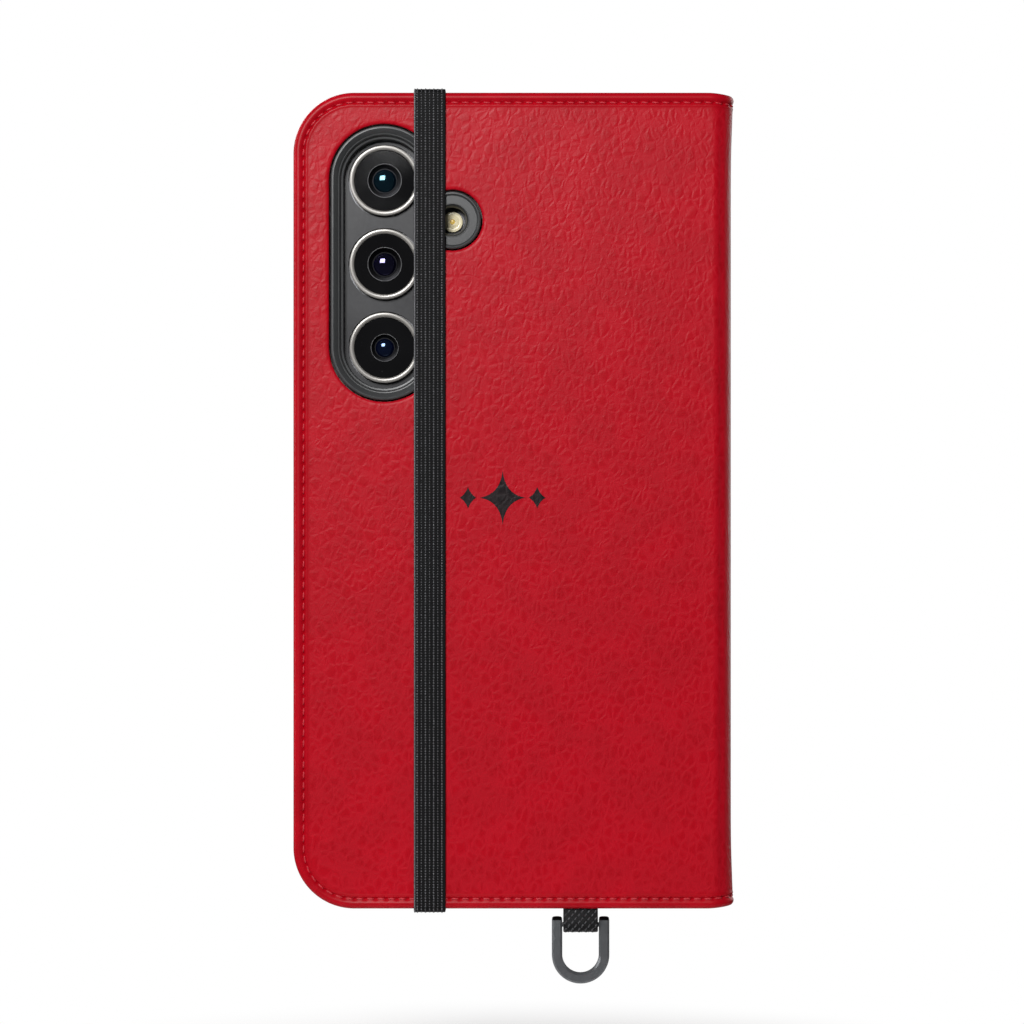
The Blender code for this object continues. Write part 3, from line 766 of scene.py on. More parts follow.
# Black metal: the lens barrels' own finish, and a painted dark reflection on the shackle's leg ends.
BLACK_METAL_AND_DARK_REFLECTION = make_moulded("blackened_metal", rgb(14, 14, 15), rgb(40, 40, 42), 0.35, 0.000004, Metallic=1.0)
LENS_METAL = make_moulded("lens_metal", rgb(140, 137, 133), rgb(160, 157, 152), 0.3, 0.000002, Metallic=0.3)
PHONE_METAL = make_moulded("phone_metal", rgb(78, 78, 80), rgb(104, 104, 106), 0.36, 0.000004, Metallic=1.0)
PHONE_BACK = make_moulded(
    "phone_back", rgb(54, 54, 56), rgb(66, 66, 68), 0.3, 0.000003, Specular_IOR_Level=0.25
)
LENS_GLASS = make_moulded(
    "lens_glass", rgb(5, 5, 7), rgb(9, 9, 12), 0.06, 0.0, Coat_Weight=1.0, Coat_Roughness=0.02
)
LENS_COATS = [
    make_moulded(
        f"lens_coating_{i}", rgb(3, 4, 8), color, 0.05, 0.0, Specular_Tint=tint, Specular_IOR_Level=0.9
    )
    for i, color, tint in (
        (1, rgb(6, 30, 44), (0.35, 0.85, 1.0, 1.0)),
        (2, rgb(18, 12, 52), (0.55, 0.5, 1.0, 1.0)),
        (3, rgb(6, 16, 52), (0.4, 0.6, 1.0, 1.0)),
    )
]
TRIM_METAL = make_moulded("lens_trim", rgb(60, 60, 62), rgb(86, 86, 88), 0.35, 0.0, Metallic=0.4)
SCREEN = make_moulded("screen_glass", rgb(6, 6, 7), rgb(10, 10, 12), 0.07, 0.0, Coat_Weight=0.6)
FLASH_CHIP = make_moulded("flash_chip", rgb(236, 196, 84), rgb(246, 216, 120), 0.3, 0.00001)
FLASH_LENS = make_moulded("flash_lens", rgb(226, 214, 176), rgb(246, 240, 214), 0.22, 0.00001)
PRINT = make_leather("black_print", rgb(26, 22, 24), rgb(12, 8, 9), rgb(50, 40, 42))


# Geometry Nodes trees


def geometry_group(name, inputs):
    return new_group(
        name,
        [("Path", "NodeSocketGeometry", None), *inputs, ("Material", "NodeSocketMaterial", None)],
        [("Geometry", "NodeSocketGeometry")],
        "GeometryNodeTree",
    )


def end_group(tree, given, out, geometry_socket):
    real = add_node(tree, "GeometryNodeRealizeInstances", {0: geometry_socket})
    smoothed = add_node(tree, "GeometryNodeSetShadeSmooth", {0: real.outputs[0]})
    painted = add_node(tree, "GeometryNodeSetMaterial", {0: smoothed.outputs[0], "Material": given["Material"]})
    tree.links.new(painted.outputs[0], out.inputs[0])
    return tree


def stitches_tree():
    """A sunk, slightly slanting stitch at each point of the path."""
    tree, given, out = geometry_group(
        "stitches_on_path", [("Length", FLOAT, 0.0015), ("Thickness", FLOAT, 0.0004), ("Slant", FLOAT, 0.1)]
    )
    spots = add_node(tree, "GeometryNodeCurveToPoints", {"Curve": given["Path"]}, mode="EVALUATED").outputs
    ball = add_node(tree, "GeometryNodeMeshUVSphere", {"Segments": 8, "Rings": 6, "Radius": 0.5}).outputs[0]
    size = combine(tree, X=given["Thickness"], Y=given["Thickness"], Z=given["Length"])
    thread = add_node(tree, "GeometryNodeTransform", {0: ball, "Scale": size}).outputs[0]
    lean = {0: spots["Rotation"], 1: combine(tree, X=given["Slant"])}
    leant = add_node(tree, "FunctionNodeRotateRotation", lean, rotation_space="LOCAL").outputs[0]
    copies = {"Points": spots["Points"], "Instance": thread, "Rotation": leant}
    laid = add_node(tree, "GeometryNodeInstanceOnPoints", copies).outputs[0]
    return end_group(tree, given, out, laid)


def loops_tree():
    """Rows of knitted or woven loops across a band, one row at each step along the path."""
    tree, given, out = geometry_group(
        "loops_over_band",
        [
            ("Row pitch", FLOAT, 0.00055),
            ("Loops", INT, 7),
            ("Loop spacing", FLOAT, 0.00083),
            ("Loop width", FLOAT, 0.00045),
            ("Loop length", FLOAT, 0.0006),
            ("Loop height", FLOAT, 0.0003),
            ("Every second", FLOAT, 0.75),
            ("Stagger", FLOAT, 0.0),
            ("Slant", FLOAT, 0.0),
        ],
    )
    pitch = {"Curve": given["Path"], "Length": given["Row pitch"]}
    even = add_node(tree, "GeometryNodeResampleCurve", pitch, mode="LENGTH").outputs[0]
    spots = add_node(tree, "GeometryNodeCurveToPoints", {"Curve": even}, mode="EVALUATED").outputs
    ball = add_node(tree, "GeometryNodeMeshUVSphere", {"Segments": 6, "Rings": 4, "Radius": 0.5}).outputs[0]
    size = combine(tree, X=given["Loop width"], Y=given["Loop height"], Z=given["Loop length"])
    loop = add_node(tree, "GeometryNodeTransform", {0: ball, "Scale": size}).outputs[0]
    lean = combine(tree, Y=given["Slant"])
    turn = add_node(tree, "FunctionNodeEulerToRotation", {0: lean}).outputs[0]
    loop = add_node(tree, "GeometryNodeTransform", {0: loop, "Rotation": turn}).outputs[0]
    last = calc(tree, "SUBTRACT", given["Loops"], 1.0)
    spread = times_plus(tree, last, given["Loop spacing"], given["Stagger"])
    first = combine(tree, X=times(tree, spread, -0.5))
    step = combine(tree, X=given["Loop spacing"])
    row_points = {"Count": given["Loops"], "Start Location": first, "Offset": step}
    line = add_node(tree, "GeometryNodeMeshLine", row_points).outputs[0]
    index = add_node(tree, "GeometryNodeInputIndex").outputs[0]
    odd = calc(tree, "MODULO", index, 2.0)
    share = ramp(tree, odd, 0.0, 1.0, 1.0, 0.0, "LINEAR")
    second = given["Every second"]
    tall = times_plus(tree, share, calc(tree, "SUBTRACT", 1.0, second), second)
    copies = {"Points": line, "Instance": loop, "Scale": tall}
    row = add_node(tree, "GeometryNodeInstanceOnPoints", copies).outputs[0]
    shift = combine(tree, X=times(tree, odd, given["Stagger"]))
    shifted = {"Geometry": spots["Points"], "Offset": shift}
    moved = add_node(tree, "GeometryNodeSetPosition", shifted).outputs[0]
    rows = {"Points": moved, "Instance": row, "Rotation": spots["Rotation"]}
    laid = add_node(tree, "GeometryNodeInstanceOnPoints", rows).outputs[0]
    return end_group(tree, given, out, laid)


def bar_tree():
    """A bar or strip with rounded corners, swept along the path and closed at its ends."""
    tree, given, out = geometry_group(
        "bar_on_path",
        [
            ("Across", FLOAT, 0.002),
            ("Through", FLOAT, 0.002),
            ("Corner", FLOAT, 0.0003),
            ("Corner steps", INT, 4),
        ],
    )
    sides = {"Width": given["Across"], "Height": given["Through"]}
    sharp = add_node(tree, "GeometryNodeCurvePrimitiveQuadrilateral", sides).outputs[0]
    rounding = {"Curve": sharp, "Radius": given["Corner"], "Count": given["Corner steps"]}
    section = add_node(tree, "GeometryNodeFilletCurve", rounding, mode="POLY").outputs[0]
    sweep = {"Curve": given["Path"], "Profile Curve": section, "Fill Caps": True}
    swept = add_node(tree, "GeometryNodeCurveToMesh", sweep).outputs[0]
    return end_group(tree, given, out, swept)


STITCHES, LOOPS, BAR = stitches_tree(), loops_tree(), bar_tree()


def along_paths(name, tree, paths, material, sharp=None, **values):
    """The mesh that a tree makes from paths of points in millimetres."""
    data = bpy.data.curves.new(name, "CURVE")
    data.dimensions = "3D"
    for path in paths:
        spline = data.splines.new("POLY")
        spline.points.add(len(path) - 1)
        places = np.c_[np.asarray(path) * MM, np.ones(len(path))]
        spline.points.foreach_set("co", places.astype(np.float32).ravel())
    curve = new_object(name + "_path", data)
    modifier = curve.modifiers.new(tree.name, "NODES")
    modifier.node_group = tree
    for item in tree.interface.items_tree:
        key = item.name.replace(" ", "_")
        if item.in_out == "INPUT" and key in values:
            modifier[item.identifier] = values[key]
        if item.name == "Material":
            modifier[item.identifier] = material
    graph = bpy.context.evaluated_depsgraph_get()
    mesh = bpy.data.meshes.new_from_object(curve.evaluated_get(graph))
    bpy.data.objects.remove(curve)
    mesh.name = name
    thing = new_object(name, mesh)
    if not mesh.materials:
        mesh.materials.append(material)
    if sharp:
        work = bmesh.new()
        work.from_mesh(mesh)
        bmesh.ops.remove_doubles(work, verts=work.verts, dist=1e-7)
        bmesh.ops.recalc_face_normals(work, faces=work.faces)
        work.to_mesh(mesh)
        work.free()
        finish_mesh(thing, sharp)
    return thing


def dense(points, step=0.5):
    """The path with points added so that none are further apart than a step."""
    points = np.asarray(points, float)
    made = [points[:1]]
    for a, b in zip(points, points[1:]):
        count = max(1, math.ceil(np.linalg.norm(b - a) / step))
        made.append(a + (b - a) * np.linspace(0, 1, count + 1)[1:, None])
    return np.concatenate(made)


def bend_between(thing, mirror=False):
    """Bakes the piece's placement into its mesh; leather and lining are bent round the spine where the sheets
    are made.
    """
    start, end = Vector((BEND_X, 0, 0)), Vector((BEND_X + BEND_R, BEND_R, 0))
    if mirror:
        start.y, end.y = THICK - start.y, THICK - end.y
    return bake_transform(thing)


# Leather covers, linings and their stitches

LEATHER_PROFILE = [
    (FLAT_INSET, 0.0, FLAT_INSET),
    # The ridge inside the seam, the seam itself and the ridge outside it
    (3.1, 0.0, 3.1), (2.85, -0.02, 2.85), (2.62, -0.08, 2.62), (2.42, -0.07, 2.42, 0.02),
    (2.24, 0.05, 2.24, 0.14), (STITCH_INSET, 0.17, STITCH_INSET, 0.32), (1.76, 0.11, 1.76, 0.16),
    (1.56, 0.0, 1.56, 0.03), (1.28, -0.12, 1.28), (0.98, -0.18, 0.98), (0.66, -0.14, 0.64),
    # The rolled edge
    (0.36, 0.0, 0.3), (0.1, 0.24, 0.0), (-0.06, 0.55, -0.35), (-0.12, 0.95, -0.75),
    (-0.12, 1.6, -1.4), (-0.06, 2.05, -1.85), (0.12, 2.42, -2.25), (0.42, 2.64, -2.6),
    # The turned-in margin and the inner face
    (0.75, PAN, -2.9), (1.02, PAN - 0.02, -3.2), (1.14, PAN - 0.16, -3.4), (1.16, 1.8, -4.2),
    (1.2, LEATHER + 0.12, -5.0), (1.5, LEATHER, -5.4), (FLAT_INSET, LEATHER, -7.5),
]
LINING_TOP, LINING_FOOT = LINING_HIGH.y, LINING_LOW.y
LINING_PROFILE = [
    (FLAT_INSET, LINING_TOP, FLAT_INSET), (2.6, LINING_TOP, 2.6), (2.3, LINING_TOP - 0.01, 2.3, -0.02),
    (STITCH_INSET, LINING_TOP - 0.08, STITCH_INSET, -0.12), (1.7, LINING_TOP - 0.01, 1.7, -0.02),
    (1.45, LINING_TOP, 1.45), (1.3, LINING_TOP - 0.06, 1.3), (1.22, LINING_TOP - 0.2, 1.1),
    (1.3, LINING_FOOT + 0.04, 0.9), (1.5, LINING_FOOT, 0.7), (FLAT_INSET, LINING_FOOT, -1.5),
]
LINING_HOLE = [(0.9, LINING_TOP), (0.05, LINING_TOP - 0.05), (0.0, LINING_FOOT + 0.1)]
WINDOW_EDGE = [(0.9, 0.0), (0.5, 0.02), (0.2, 0.12), (0.03, 0.34), (0.0, 0.6), (0.1, 0.86)]
STITCH = 1.5 * MM
SEAM_INSET = 1.3


def make_covers():
    for cover, mirror, window in (("back_cover", False, WINDOW_EDGE), ("front_cover", True, None)):
        side = cover.split("_")[0]
        leather = make_sheet(side + "_leather", LEATHER_PROFILE, RED, window, mirror, spine_relief, 0.05)
        bend_between(leather, mirror)
        nodes = ("back_skin", "spine_skin") if side == "back" else ("front_skin",)
        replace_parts(leather, *nodes)
        hole = window and LINING_HOLE
        lining = make_sheet(side + "_inner_lining", LINING_PROFILE, LINING, hole, mirror)
        bend_between(lining, mirror)
        nodes = ("back_lining", "spine_lining") if side == "back" else ("front_lining",)
        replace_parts(lining, *nodes)
        line = stitch_line(0.07, spine_relief, mirror)
        inner_line = stitch_line(LINING_TOP - 0.01, None, mirror)
        for name, line, thread, thickness, slant, slot in (
            ("_stitches", line, RED_THREAD, 0.36, 0.07, "red_leather"),
            ("_inner_stitches", inner_line, BLACK_THREAD, 0.34, 0.1, "black_lining"),
        ):
            values = {"Length": STITCH, "Thickness": thickness * MM, "Slant": slant}
            seam = along_paths(side + name, STITCHES, [line], thread, **values)
            bend_between(seam, mirror)


# Camera surround and holder


def make_surround():
    """The holder's rim in the back cover's window, round the cameras and the flash."""
    foot = TRAY_Y + 1.0
    outer = [
        (-FIT - 0.5, foot), (-FIT, foot - 0.4), (-FIT, 0.4),
        (-FIT - 0.05, 0.2), (-FIT - 0.16, 0.07), (-FIT - 0.34, 0.0),
    ]
    rim = loft("camera_surround", [standing(window_outline(g), y) for g, y in outer], HOLDER)
    slot_rings = [
        (11.3, -1.0), (10.3, -0.3), (10.28, -0.02), (10.2, 0.05), (10.06, 0.16), (9.3, 1.05),
        (9.2, 1.06), (9.1, 1.1), (9.04, 1.22), (8.96, 1.42), (8.74, 2.04), (8.62, 2.06),
        (8.42, 2.1), (8.32, 2.2), (8.26, 2.45), (8.2, foot + 1.0),
    ]
    slot = loft("slot_cutter", [standing(slot_outline(w), y) for w, y in slot_rings], HOLDER)
    hole = box("flash_lens")[1].x - FLASH.x + 0.75
    ear = WINDOW_EAR - FIT - 0.7
    profile = [
        (0, -1.0), (ear + 0.3, -1.0), (ear + 0.26, -0.01), (ear + 0.06, 0.16), (ear - 0.02, 0.34),
        (ear - 0.16, 0.42), (hole + 0.62, 0.42), (hole + 0.56, 0.34), (hole + 0.46, 0.34),
        (hole + 0.4, 0.46), (hole + 0.12, 0.8), (hole, 1.1), (hole, foot + 1.0), (0, foot + 1.0),
    ]
    eye = turned("ear_cutter", profile, FLASH, HOLDER)
    cut(rim, [slot, eye], 24)
    settle(rim, "back_cover", "holder_plastic")


def phone_outline(grow):
    half_x, half_z = CHASSIS_HIGH.x + grow, CHASSIS_HIGH.z + grow
    return rounded_box((-half_x, -half_z), (half_x, half_z), PHONE_CORNER + grow, 16)


def make_holder():
    wall = SHELL_HIGH.x - CHASSIS_HIGH.x
    low, high = TRAY_Y, SHELL_HIGH.y
    lip = CHASSIS_HIGH.y + 1.2
    outside = [
        (-1.0 + wall, low), (wall - 0.5, low + 0.18), (wall - 0.15, low + 0.6), (wall, low + 1.2),
        (wall, high - 0.85), (wall - 0.08, high - 0.42), (wall - 0.35, high - 0.12), (wall - 0.75, high),
    ]
    tray = loft("holder_tray", [standing(phone_outline(g), y) for g, y in outside], HOLDER)
    hollow = [
        (-0.3, low + 1.0), (0.15, low + 1.25), (FIT, low + 1.8), (FIT, lip - 0.5), (0.1, lip - 0.1),
        (-0.3, lip), (-1.0, lip + 0.01), (-1.17, lip + 0.12), (-1.2, lip + 0.26), (-1.1, high - 0.08),
        (-0.85, high + 0.02), (-0.7, high + 1.0),
    ]
    pocket = loft("pocket_cutter", [standing(phone_outline(g), y) for g, y in hollow], HOLDER)
    window = prism("window_cutter", window_outline(-FIT), standing, (low - 1, low + 2), HOLDER)
    key_low, key_high = box("power_key")[0], box("volume_key")[1]
    mid_y = (key_low.y + key_high.y) / 2
    outline = rounded_box((mid_y - 2.3, key_low.z - 4), (mid_y + 2.3, key_high.z + 4), 2.1)
    keys = prism("keys_cutter", outline, sideways, (SHELL_LOW.x - 1, CHASSIS_LOW.x + 0.9), HOLDER)
    port = rounded_box((-6.75, mid_y - 2.8), (6.75, mid_y + 2.8), 2.5)
    access = prism("port_cutter", port, level, (SHELL_LOW.z - 1, CHASSIS_LOW.z + 0.9), HOLDER)
    cut(tray, [pocket, window, keys, access])
    settle(tray, "back_cover", "holder_plastic", "phone_shell")


# Phone


def make_phone():
    low, high = CHASSIS_LOW.y, CHASSIS_HIGH.y
    round_edge = 1.6
    turns = np.linspace(0, math.pi / 2, 9)
    rings = [(-round_edge * (1 - math.sin(a)), low + round_edge * (1 - math.cos(a))) for a in turns]
    rings += [(g, low + high - y) for g, y in rings[::-1]]
    body = loft("phone_frame", [standing(phone_outline(g), y) for g, y in rings], PHONE_METAL)
    mid_y = (low + high) / 2
    side, end = CHASSIS_LOW.x, CHASSIS_LOW.z
    cutters = []
    for node in ("power_key", "volume_key"):
        key_low, key_high = box(node)
        gap = 0.18
        outline = rounded_box((key_low.y - gap, key_low.z - gap), (key_high.y + gap, key_high.z + gap), 1.15)
        cutters.append(prism(node + "_cutter", outline, sideways, (side - 1, side + 1.2), BLACK_METAL_AND_DARK_REFLECTION))
    port = rounded_box((-4.5, mid_y - 1.6), (4.5, mid_y + 1.6), 1.5)
    cutters.append(prism("port_hole", port, level, (end - 1, end + 6), BLACK_METAL_AND_DARK_REFLECTION))
    for i in range(6):
        ring = arc((11 + i * 2.2, mid_y), 0.55, 0, 360, 20)[:-1]
        cutters.append(prism(f"speaker_hole_{i}", ring, level, (end - 1, end + 2), BLACK_METAL_AND_DARK_REFLECTION))
    cut(body, cutters)
    settle(body, "back_cover", "phone_metal", "phone_chassis")
    for node, body_name in (("power_key", "power_button"), ("volume_key", "volume_button")):
        key_low, key_high = box(node)
        face = key_low.x
        rings = []
        for g, x in (
            (0.0, key_high.x), (0.0, face + 0.34), (-0.05, face + 0.16),
            (-0.16, face + 0.05), (-0.34, face), (-0.62, face + 0.01),
        ):
            outline = rounded_box((key_low.y - g, key_low.z - g), (key_high.y + g, key_high.z + g), 1.0 + g)
            rings.append(sideways(outline, x))
        key = loft(node + "_cap", rings, PHONE_METAL)
        settle(key, body_name, "phone_metal", node)
    top = SCREEN_HIGH.y
    rings = [(0.0, SCREEN_LOW.y), (0.0, top - 0.3), (-0.08, top - 0.12), (-0.3, top - 0.01), (-0.6, top)]
    screen = loft("display_glass", [standing(phone_outline(g - 0.8), y) for g, y in rings], SCREEN)
    settle(screen, "back_cover", "screen_glass", "phone_screen")
    profile = [(0, top - 0.1), (1.7, top - 0.1), (1.7, top + 0.01), (1.2, top + 0.03), (0, top + 0.04)]
    dot = turned("selfie_camera", profile, (0, 0, CHASSIS_HIGH.z - 6.2), LENS_GLASS)
    settle(dot, "back_cover", "lens_glass")


def make_lenses():
    for i, center in enumerate(LENSES, 1):
        low, high = box(f"lens_ring_{i}")
        outer = high.x - center.x
        top, foot = low.y, high.y
        profile = [
            (outer, foot), (outer, top + 0.14), (outer - 0.04, top + 0.04), (outer - 0.12, top),
            (outer - 0.7, top), (outer - 0.76, top + 0.03), (outer - 0.8, top + 0.1),
            (outer - 0.88, top + 0.13), (outer - 0.93, top + 0.22), (outer - 0.98, top + 0.4),
            (outer - 0.98, foot),
        ]
        ring = turned(f"camera_ring_{i}", profile, center, LENS_METAL, 128, sharp=30)
        settle(ring, "back_cover", "lens_metal", f"lens_ring_{i}")
        low, high = box(f"lens_window_{i}")
        edge, top = high.x - center.x + 0.06, low.y
        eye = EYES[i - 1]
        profile = [
            (edge, high.y), (edge, top + 0.1), (edge - 0.08, top), (eye + 0.12, top),
            (eye + 0.03, top + 0.05), (eye, top + 0.14), (eye, high.y),
        ]
        glass = turned(f"camera_glass_{i}", profile, center, LENS_GLASS, 128, sharp=18)
        settle(glass, "back_cover", "lens_glass", f"lens_window_{i}")
        low, high = box(f"lens_barrel_{i}")
        top = low.y - 0.5
        profile = [
            (0, top + 0.7), (eye * 0.74, top + 0.7), (eye * 0.78, top + 0.56), (eye * 0.86, top + 0.5),
            (eye * 0.88, top + 0.34), (eye * 0.97, top + 0.26), (eye + 0.2, top + 0.28),
            (eye + 0.2, high.y), (0, high.y),
        ]
        barrel = turned(f"camera_barrel_{i}", profile, center, BLACK_METAL_AND_DARK_REFLECTION, 96, sharp=25)
        settle(barrel, "back_cover", "lens_glass", f"lens_barrel_{i}")
        turns = np.linspace(0, 1.35, 16)
        curve = [(eye * 0.7 * math.sin(a), top + 0.95 - 0.9 * math.cos(a)) for a in turns]
        curve += [(eye * 0.6, top + 0.9), (0, top + 0.9)]
        element = turned(f"camera_element_{i}", curve, center, LENS_COATS[i - 1], 96)
        settle(element, "back_cover", "lens_glass")
        trim = [
            (eye + 0.02, top - 0.1), (eye + 0.02, top + 0.1), (eye - 0.12, top + 0.1),
            (eye - 0.12, top - 0.04), (eye - 0.06, top - 0.1),
        ]
        trim = [(r, y - 0.18) for r, y in trim]
        inner = turned(f"camera_trim_{i}", trim, center, TRIM_METAL, 96)
        settle(inner, "back_cover", "lens_metal")


def make_flash():
    """The flash's ribbed window, open in the middle over its yellow chip."""
    low, high = box("flash_lens")
    radius, top, foot = high.x - FLASH.x, low.y, high.y
    profile = [
        (0.5, top + 0.12), (0.55, top - 0.02), (0.7, top - 0.06), (0.82, top + 0.04), (0.95, top - 0.04),
        (1.08, top + 0.05), (1.22, top - 0.02), (1.36, top + 0.06), (1.5, top + 0.01),
        (radius - 0.3, top + 0.03), (radius - 0.06, top + 0.1), (radius, top + 0.3), (radius, foot),
        (0.5, foot),
    ]
    flash = turned("flash_window", profile, FLASH, FLASH_LENS, 64)
    settle(flash, "back_cover", "flash_lens", "flash_lens")
    chip = [
        (0, top + 0.02), (0.3, top + 0.03), (0.46, top + 0.08), (0.54, top + 0.2), (0.54, foot), (0, foot),
    ]
    lamp = turned("flash_chip", chip, FLASH, FLASH_CHIP, 48)
    settle(lamp, "back_cover", "flash_lens")


# Elastic band


def band_path(lift=0.0):
    """The middle line of the band, from its sewn end at the top round the back cover to the bottom."""
    x = (BAND_LOW.x + BAND_HIGH.x) / 2
    half = 0.25
    top, back = BAND_HIGH.z - half + lift, BAND_LOW.y + half - lift
    end = BAND_HIGH.y - 0.5
    sewn = arc((end - 0.35, top - 0.45), 0.45, 0, 90, 5)
    radius = 0.95 + lift
    points = [(end + 0.1, top - 0.42), *sewn, *arc((back + radius, top - radius), radius, 90, 180, 10)]
    points = sideways(points, x)
    return points + [(px, py, -pz) for px, py, pz in points[::-1]]


def make_band():
    width = BAND_HIGH.x - BAND_LOW.x
    path = dense(band_path())
    sizes = {"Across": width * MM, "Through": 0.46 * MM, "Corner": 0.2 * MM, "Corner_steps": 4}
    strip = along_paths("strip", BAR, [path], ELASTIC, 40, **sizes)
    ribs = along_paths(
        "ribs",
        LOOPS,
        [dense(band_path(0.2))],
        RIBS,
        Row_pitch=0.55 * MM,
        Loops=7,
        Loop_spacing=0.83 * MM,
        Loop_width=0.4 * MM,
        Loop_length=0.46 * MM,
        Loop_height=0.36 * MM,
        Every_second=0.76,
    )
    # The edge cord's light grey is a painted highlight along the band's lit edge.
    path = dense([(x - width / 2 + 0.2, y, z) for x, y, z in band_path(0.12)])
    sizes = {"Across": 0.3 * MM, "Through": 0.4 * MM, "Corner": 0.1 * MM, "Corner_steps": 2}
    cord = along_paths("cord", BAR, [path], ELASTIC_EDGE_HIGHLIGHT, 40, **sizes)
    band = join("closing_elastic", [strip, ribs, cord])
    band.data.shade_smooth()
    settle(band, "closing_band", "elastic_webbing", "elastic_band")
    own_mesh(band)


# Webbing tab and shackle


def tab_path(grow=0.0):
    """The webbing's middle line in profile: down from the cover, round the bar and up again."""
    radius, half = 1.225 + grow, 0.33 + grow
    x, y, z = (TAB_LOW.x + TAB_HIGH.x) / 2, (TAB_LOW.y + TAB_HIGH.y) / 2, (BAR_LOW.z + BAR_HIGH.z) / 2
    start = -TOP + 1.5
    neck = z + 2.1
    loop = arc((y, z), radius, 180, 360, 24)
    side = [(y - half, start), (y - half, neck + 0.9), (y - half - 0.12, neck + 0.3)]
    side.append((y - radius + 0.12, z + 0.8))
    return sideways(side + loop + [(2 * y - py, pz) for py, pz in side[::-1]], x)


def make_tab():
    width = TAB_HIGH.x - TAB_LOW.x
    sizes = {"Across": width * MM, "Through": 0.6 * MM, "Corner": 0.22 * MM, "Corner_steps": 4}
    strap = along_paths("strap", BAR, [dense(tab_path(), 0.35)], WEBBING, 40, **sizes)
    weave = along_paths(
        "weave",
        LOOPS,
        [dense(tab_path(0.26), 0.3)],
        WEB_LOOPS,
        Row_pitch=0.73 * MM,
        Loops=5,
        Loop_spacing=1.36 * MM,
        Loop_width=0.42 * MM,
        Loop_length=0.95 * MM,
        Loop_height=0.3 * MM,
        Every_second=1.0,
        Stagger=0.66 * MM,
        Slant=-0.6,
    )
    tab = join("webbing_tab", [strap, weave])
    tab.data.shade_smooth()
    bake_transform(tab)
    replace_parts(tab, "strap_tab")


def make_shackle():
    x, y = (RING_LOW.x + RING_HIGH.x) / 2, (RING_LOW.y + RING_HIGH.y) / 2
    outer = RING_HIGH.x - x
    leg = 2.1
    middle_radius = outer - leg / 2
    center = RING_LOW.z + outer
    top = RING_HIGH.z - 0.62
    bow = arc((x, center), middle_radius, 180, 360, 64)
    path = standing([(x - middle_radius, top), *bow, (x + middle_radius, top)], y)
    depth = RING_HIGH.y - RING_LOW.y
    sizes = {"Across": leg * MM, "Through": depth * MM, "Corner": 0.4 * MM, "Corner_steps": 1}
    shackle = along_paths("key_shackle", BAR, [dense(path, 0.6)], GUNMETAL, 30, **sizes)
    settle(shackle, "ring", "gunmetal", "ring_shackle")
    tips = []
    for side in (-1, 1):
        rings = []
        for inset, z in (
            (0.12, top - 0.1), (0.12, top + 0.05), (0.05, top + 0.12),
            (0.06, top + 0.34), (0.22, top + 0.52), (0.5, RING_HIGH.z),
        ):
            half_x, half_y = leg / 2 - inset, depth / 2 - inset
            cx = x + side * middle_radius
            outline = rounded_box((cx - half_x, y - half_y), (cx + half_x, y + half_y), 0.4, 4)
            rings.append(level(outline, z))
        # The domed leg ends are coloured black: a painted dark reflection on the gunmetal legs.
        tips.append(loft("tip", rings, BLACK_METAL_AND_DARK_REFLECTION))
    tip = join("shackle_tips", tips)
    finish_mesh(tip, 30)
    settle(tip, "ring", "gunmetal")
    across = BAR_HIGH.y - BAR_LOW.y
    z = (BAR_LOW.z + BAR_HIGH.z) / 2
    tip_x = BAR_HIGH.x
    ends = [(0, tip_x), (0.4, tip_x), (0.4, tip_x - 0.9), (across / 2, tip_x - 1.2)]
    profile = ends + [(r, 2 * x - p) for r, p in ends[::-1]]
    bar = turned("shackle_bar", profile, (x, y, z), GUNMETAL, 48, along=0)
    settle(bar, "ring", "gunmetal", "ring_bar")


# Stage, light and camera


def make_stage():
    finish = Finish("stage_floor", Roughness=0.9, Base_Color=(0.9, 0.9, 0.9, 1))
    tree = finish.tree
    length = add_node(tree, "ShaderNodeVectorMath", {0: finish.place}, operation="LENGTH").outputs["Value"]
    seen = add_node(tree, "ShaderNodeLightPath").outputs["Is Camera Ray"]
    strength = ramp(tree, seen, 0.0, 1.0, 0.08, 1.0, "LINEAR")
    glow = add_node(tree, "ShaderNodeEmission", {"Color": (1, 1, 1, 1), "Strength": strength})
    share = ramp(tree, length, 0.128, 0.2)
    mix = add_node(tree, "ShaderNodeMixShader", {0: share, 1: finish.shader.outputs[0], 2: glow.outputs[0]})
    output = next(n for n in tree.nodes if n.type == "OUTPUT_MATERIAL")
    tree.links.new(mix.outputs[0], output.inputs["Surface"])
    corners = [(-1, -1), (1, -1), (1, 1), (-1, 1)]
    points = level([(FLOOR_HALF * x, FLOOR_HALF * y) for x, y in corners], RING_LOW.z - FLOOR_DROP)
    floor = new_mesh("floor", points, [(0, 1, 2, 3)], finish.material, outward=False)
    world = bpy.data.worlds.new("studio")
    bpy.context.scene.world = world
    world.use_nodes = True
    tree = world.node_tree
    seen = add_node(tree, "ShaderNodeLightPath").outputs["Is Camera Ray"]
    strength = ramp(tree, seen, 0.0, 1.0, 0.06, 1.0, "LINEAR")
    background = tree.nodes["Background"]
    background.inputs["Color"].default_value = (1, 1, 1, 1)
    tree.links.new(strength, background.inputs["Strength"])


def area_light(name, place, target, size, power):
    data = bpy.data.lights.new(name, "AREA")
    data.shape = "RECTANGLE"
    data.size, data.size_y = size
    data.energy = power
    lamp = new_object(name, data)
    lamp.location = place
    lamp.rotation_euler = (Vector(target) - Vector(place)).to_track_quat("-Z", "Y").to_euler()


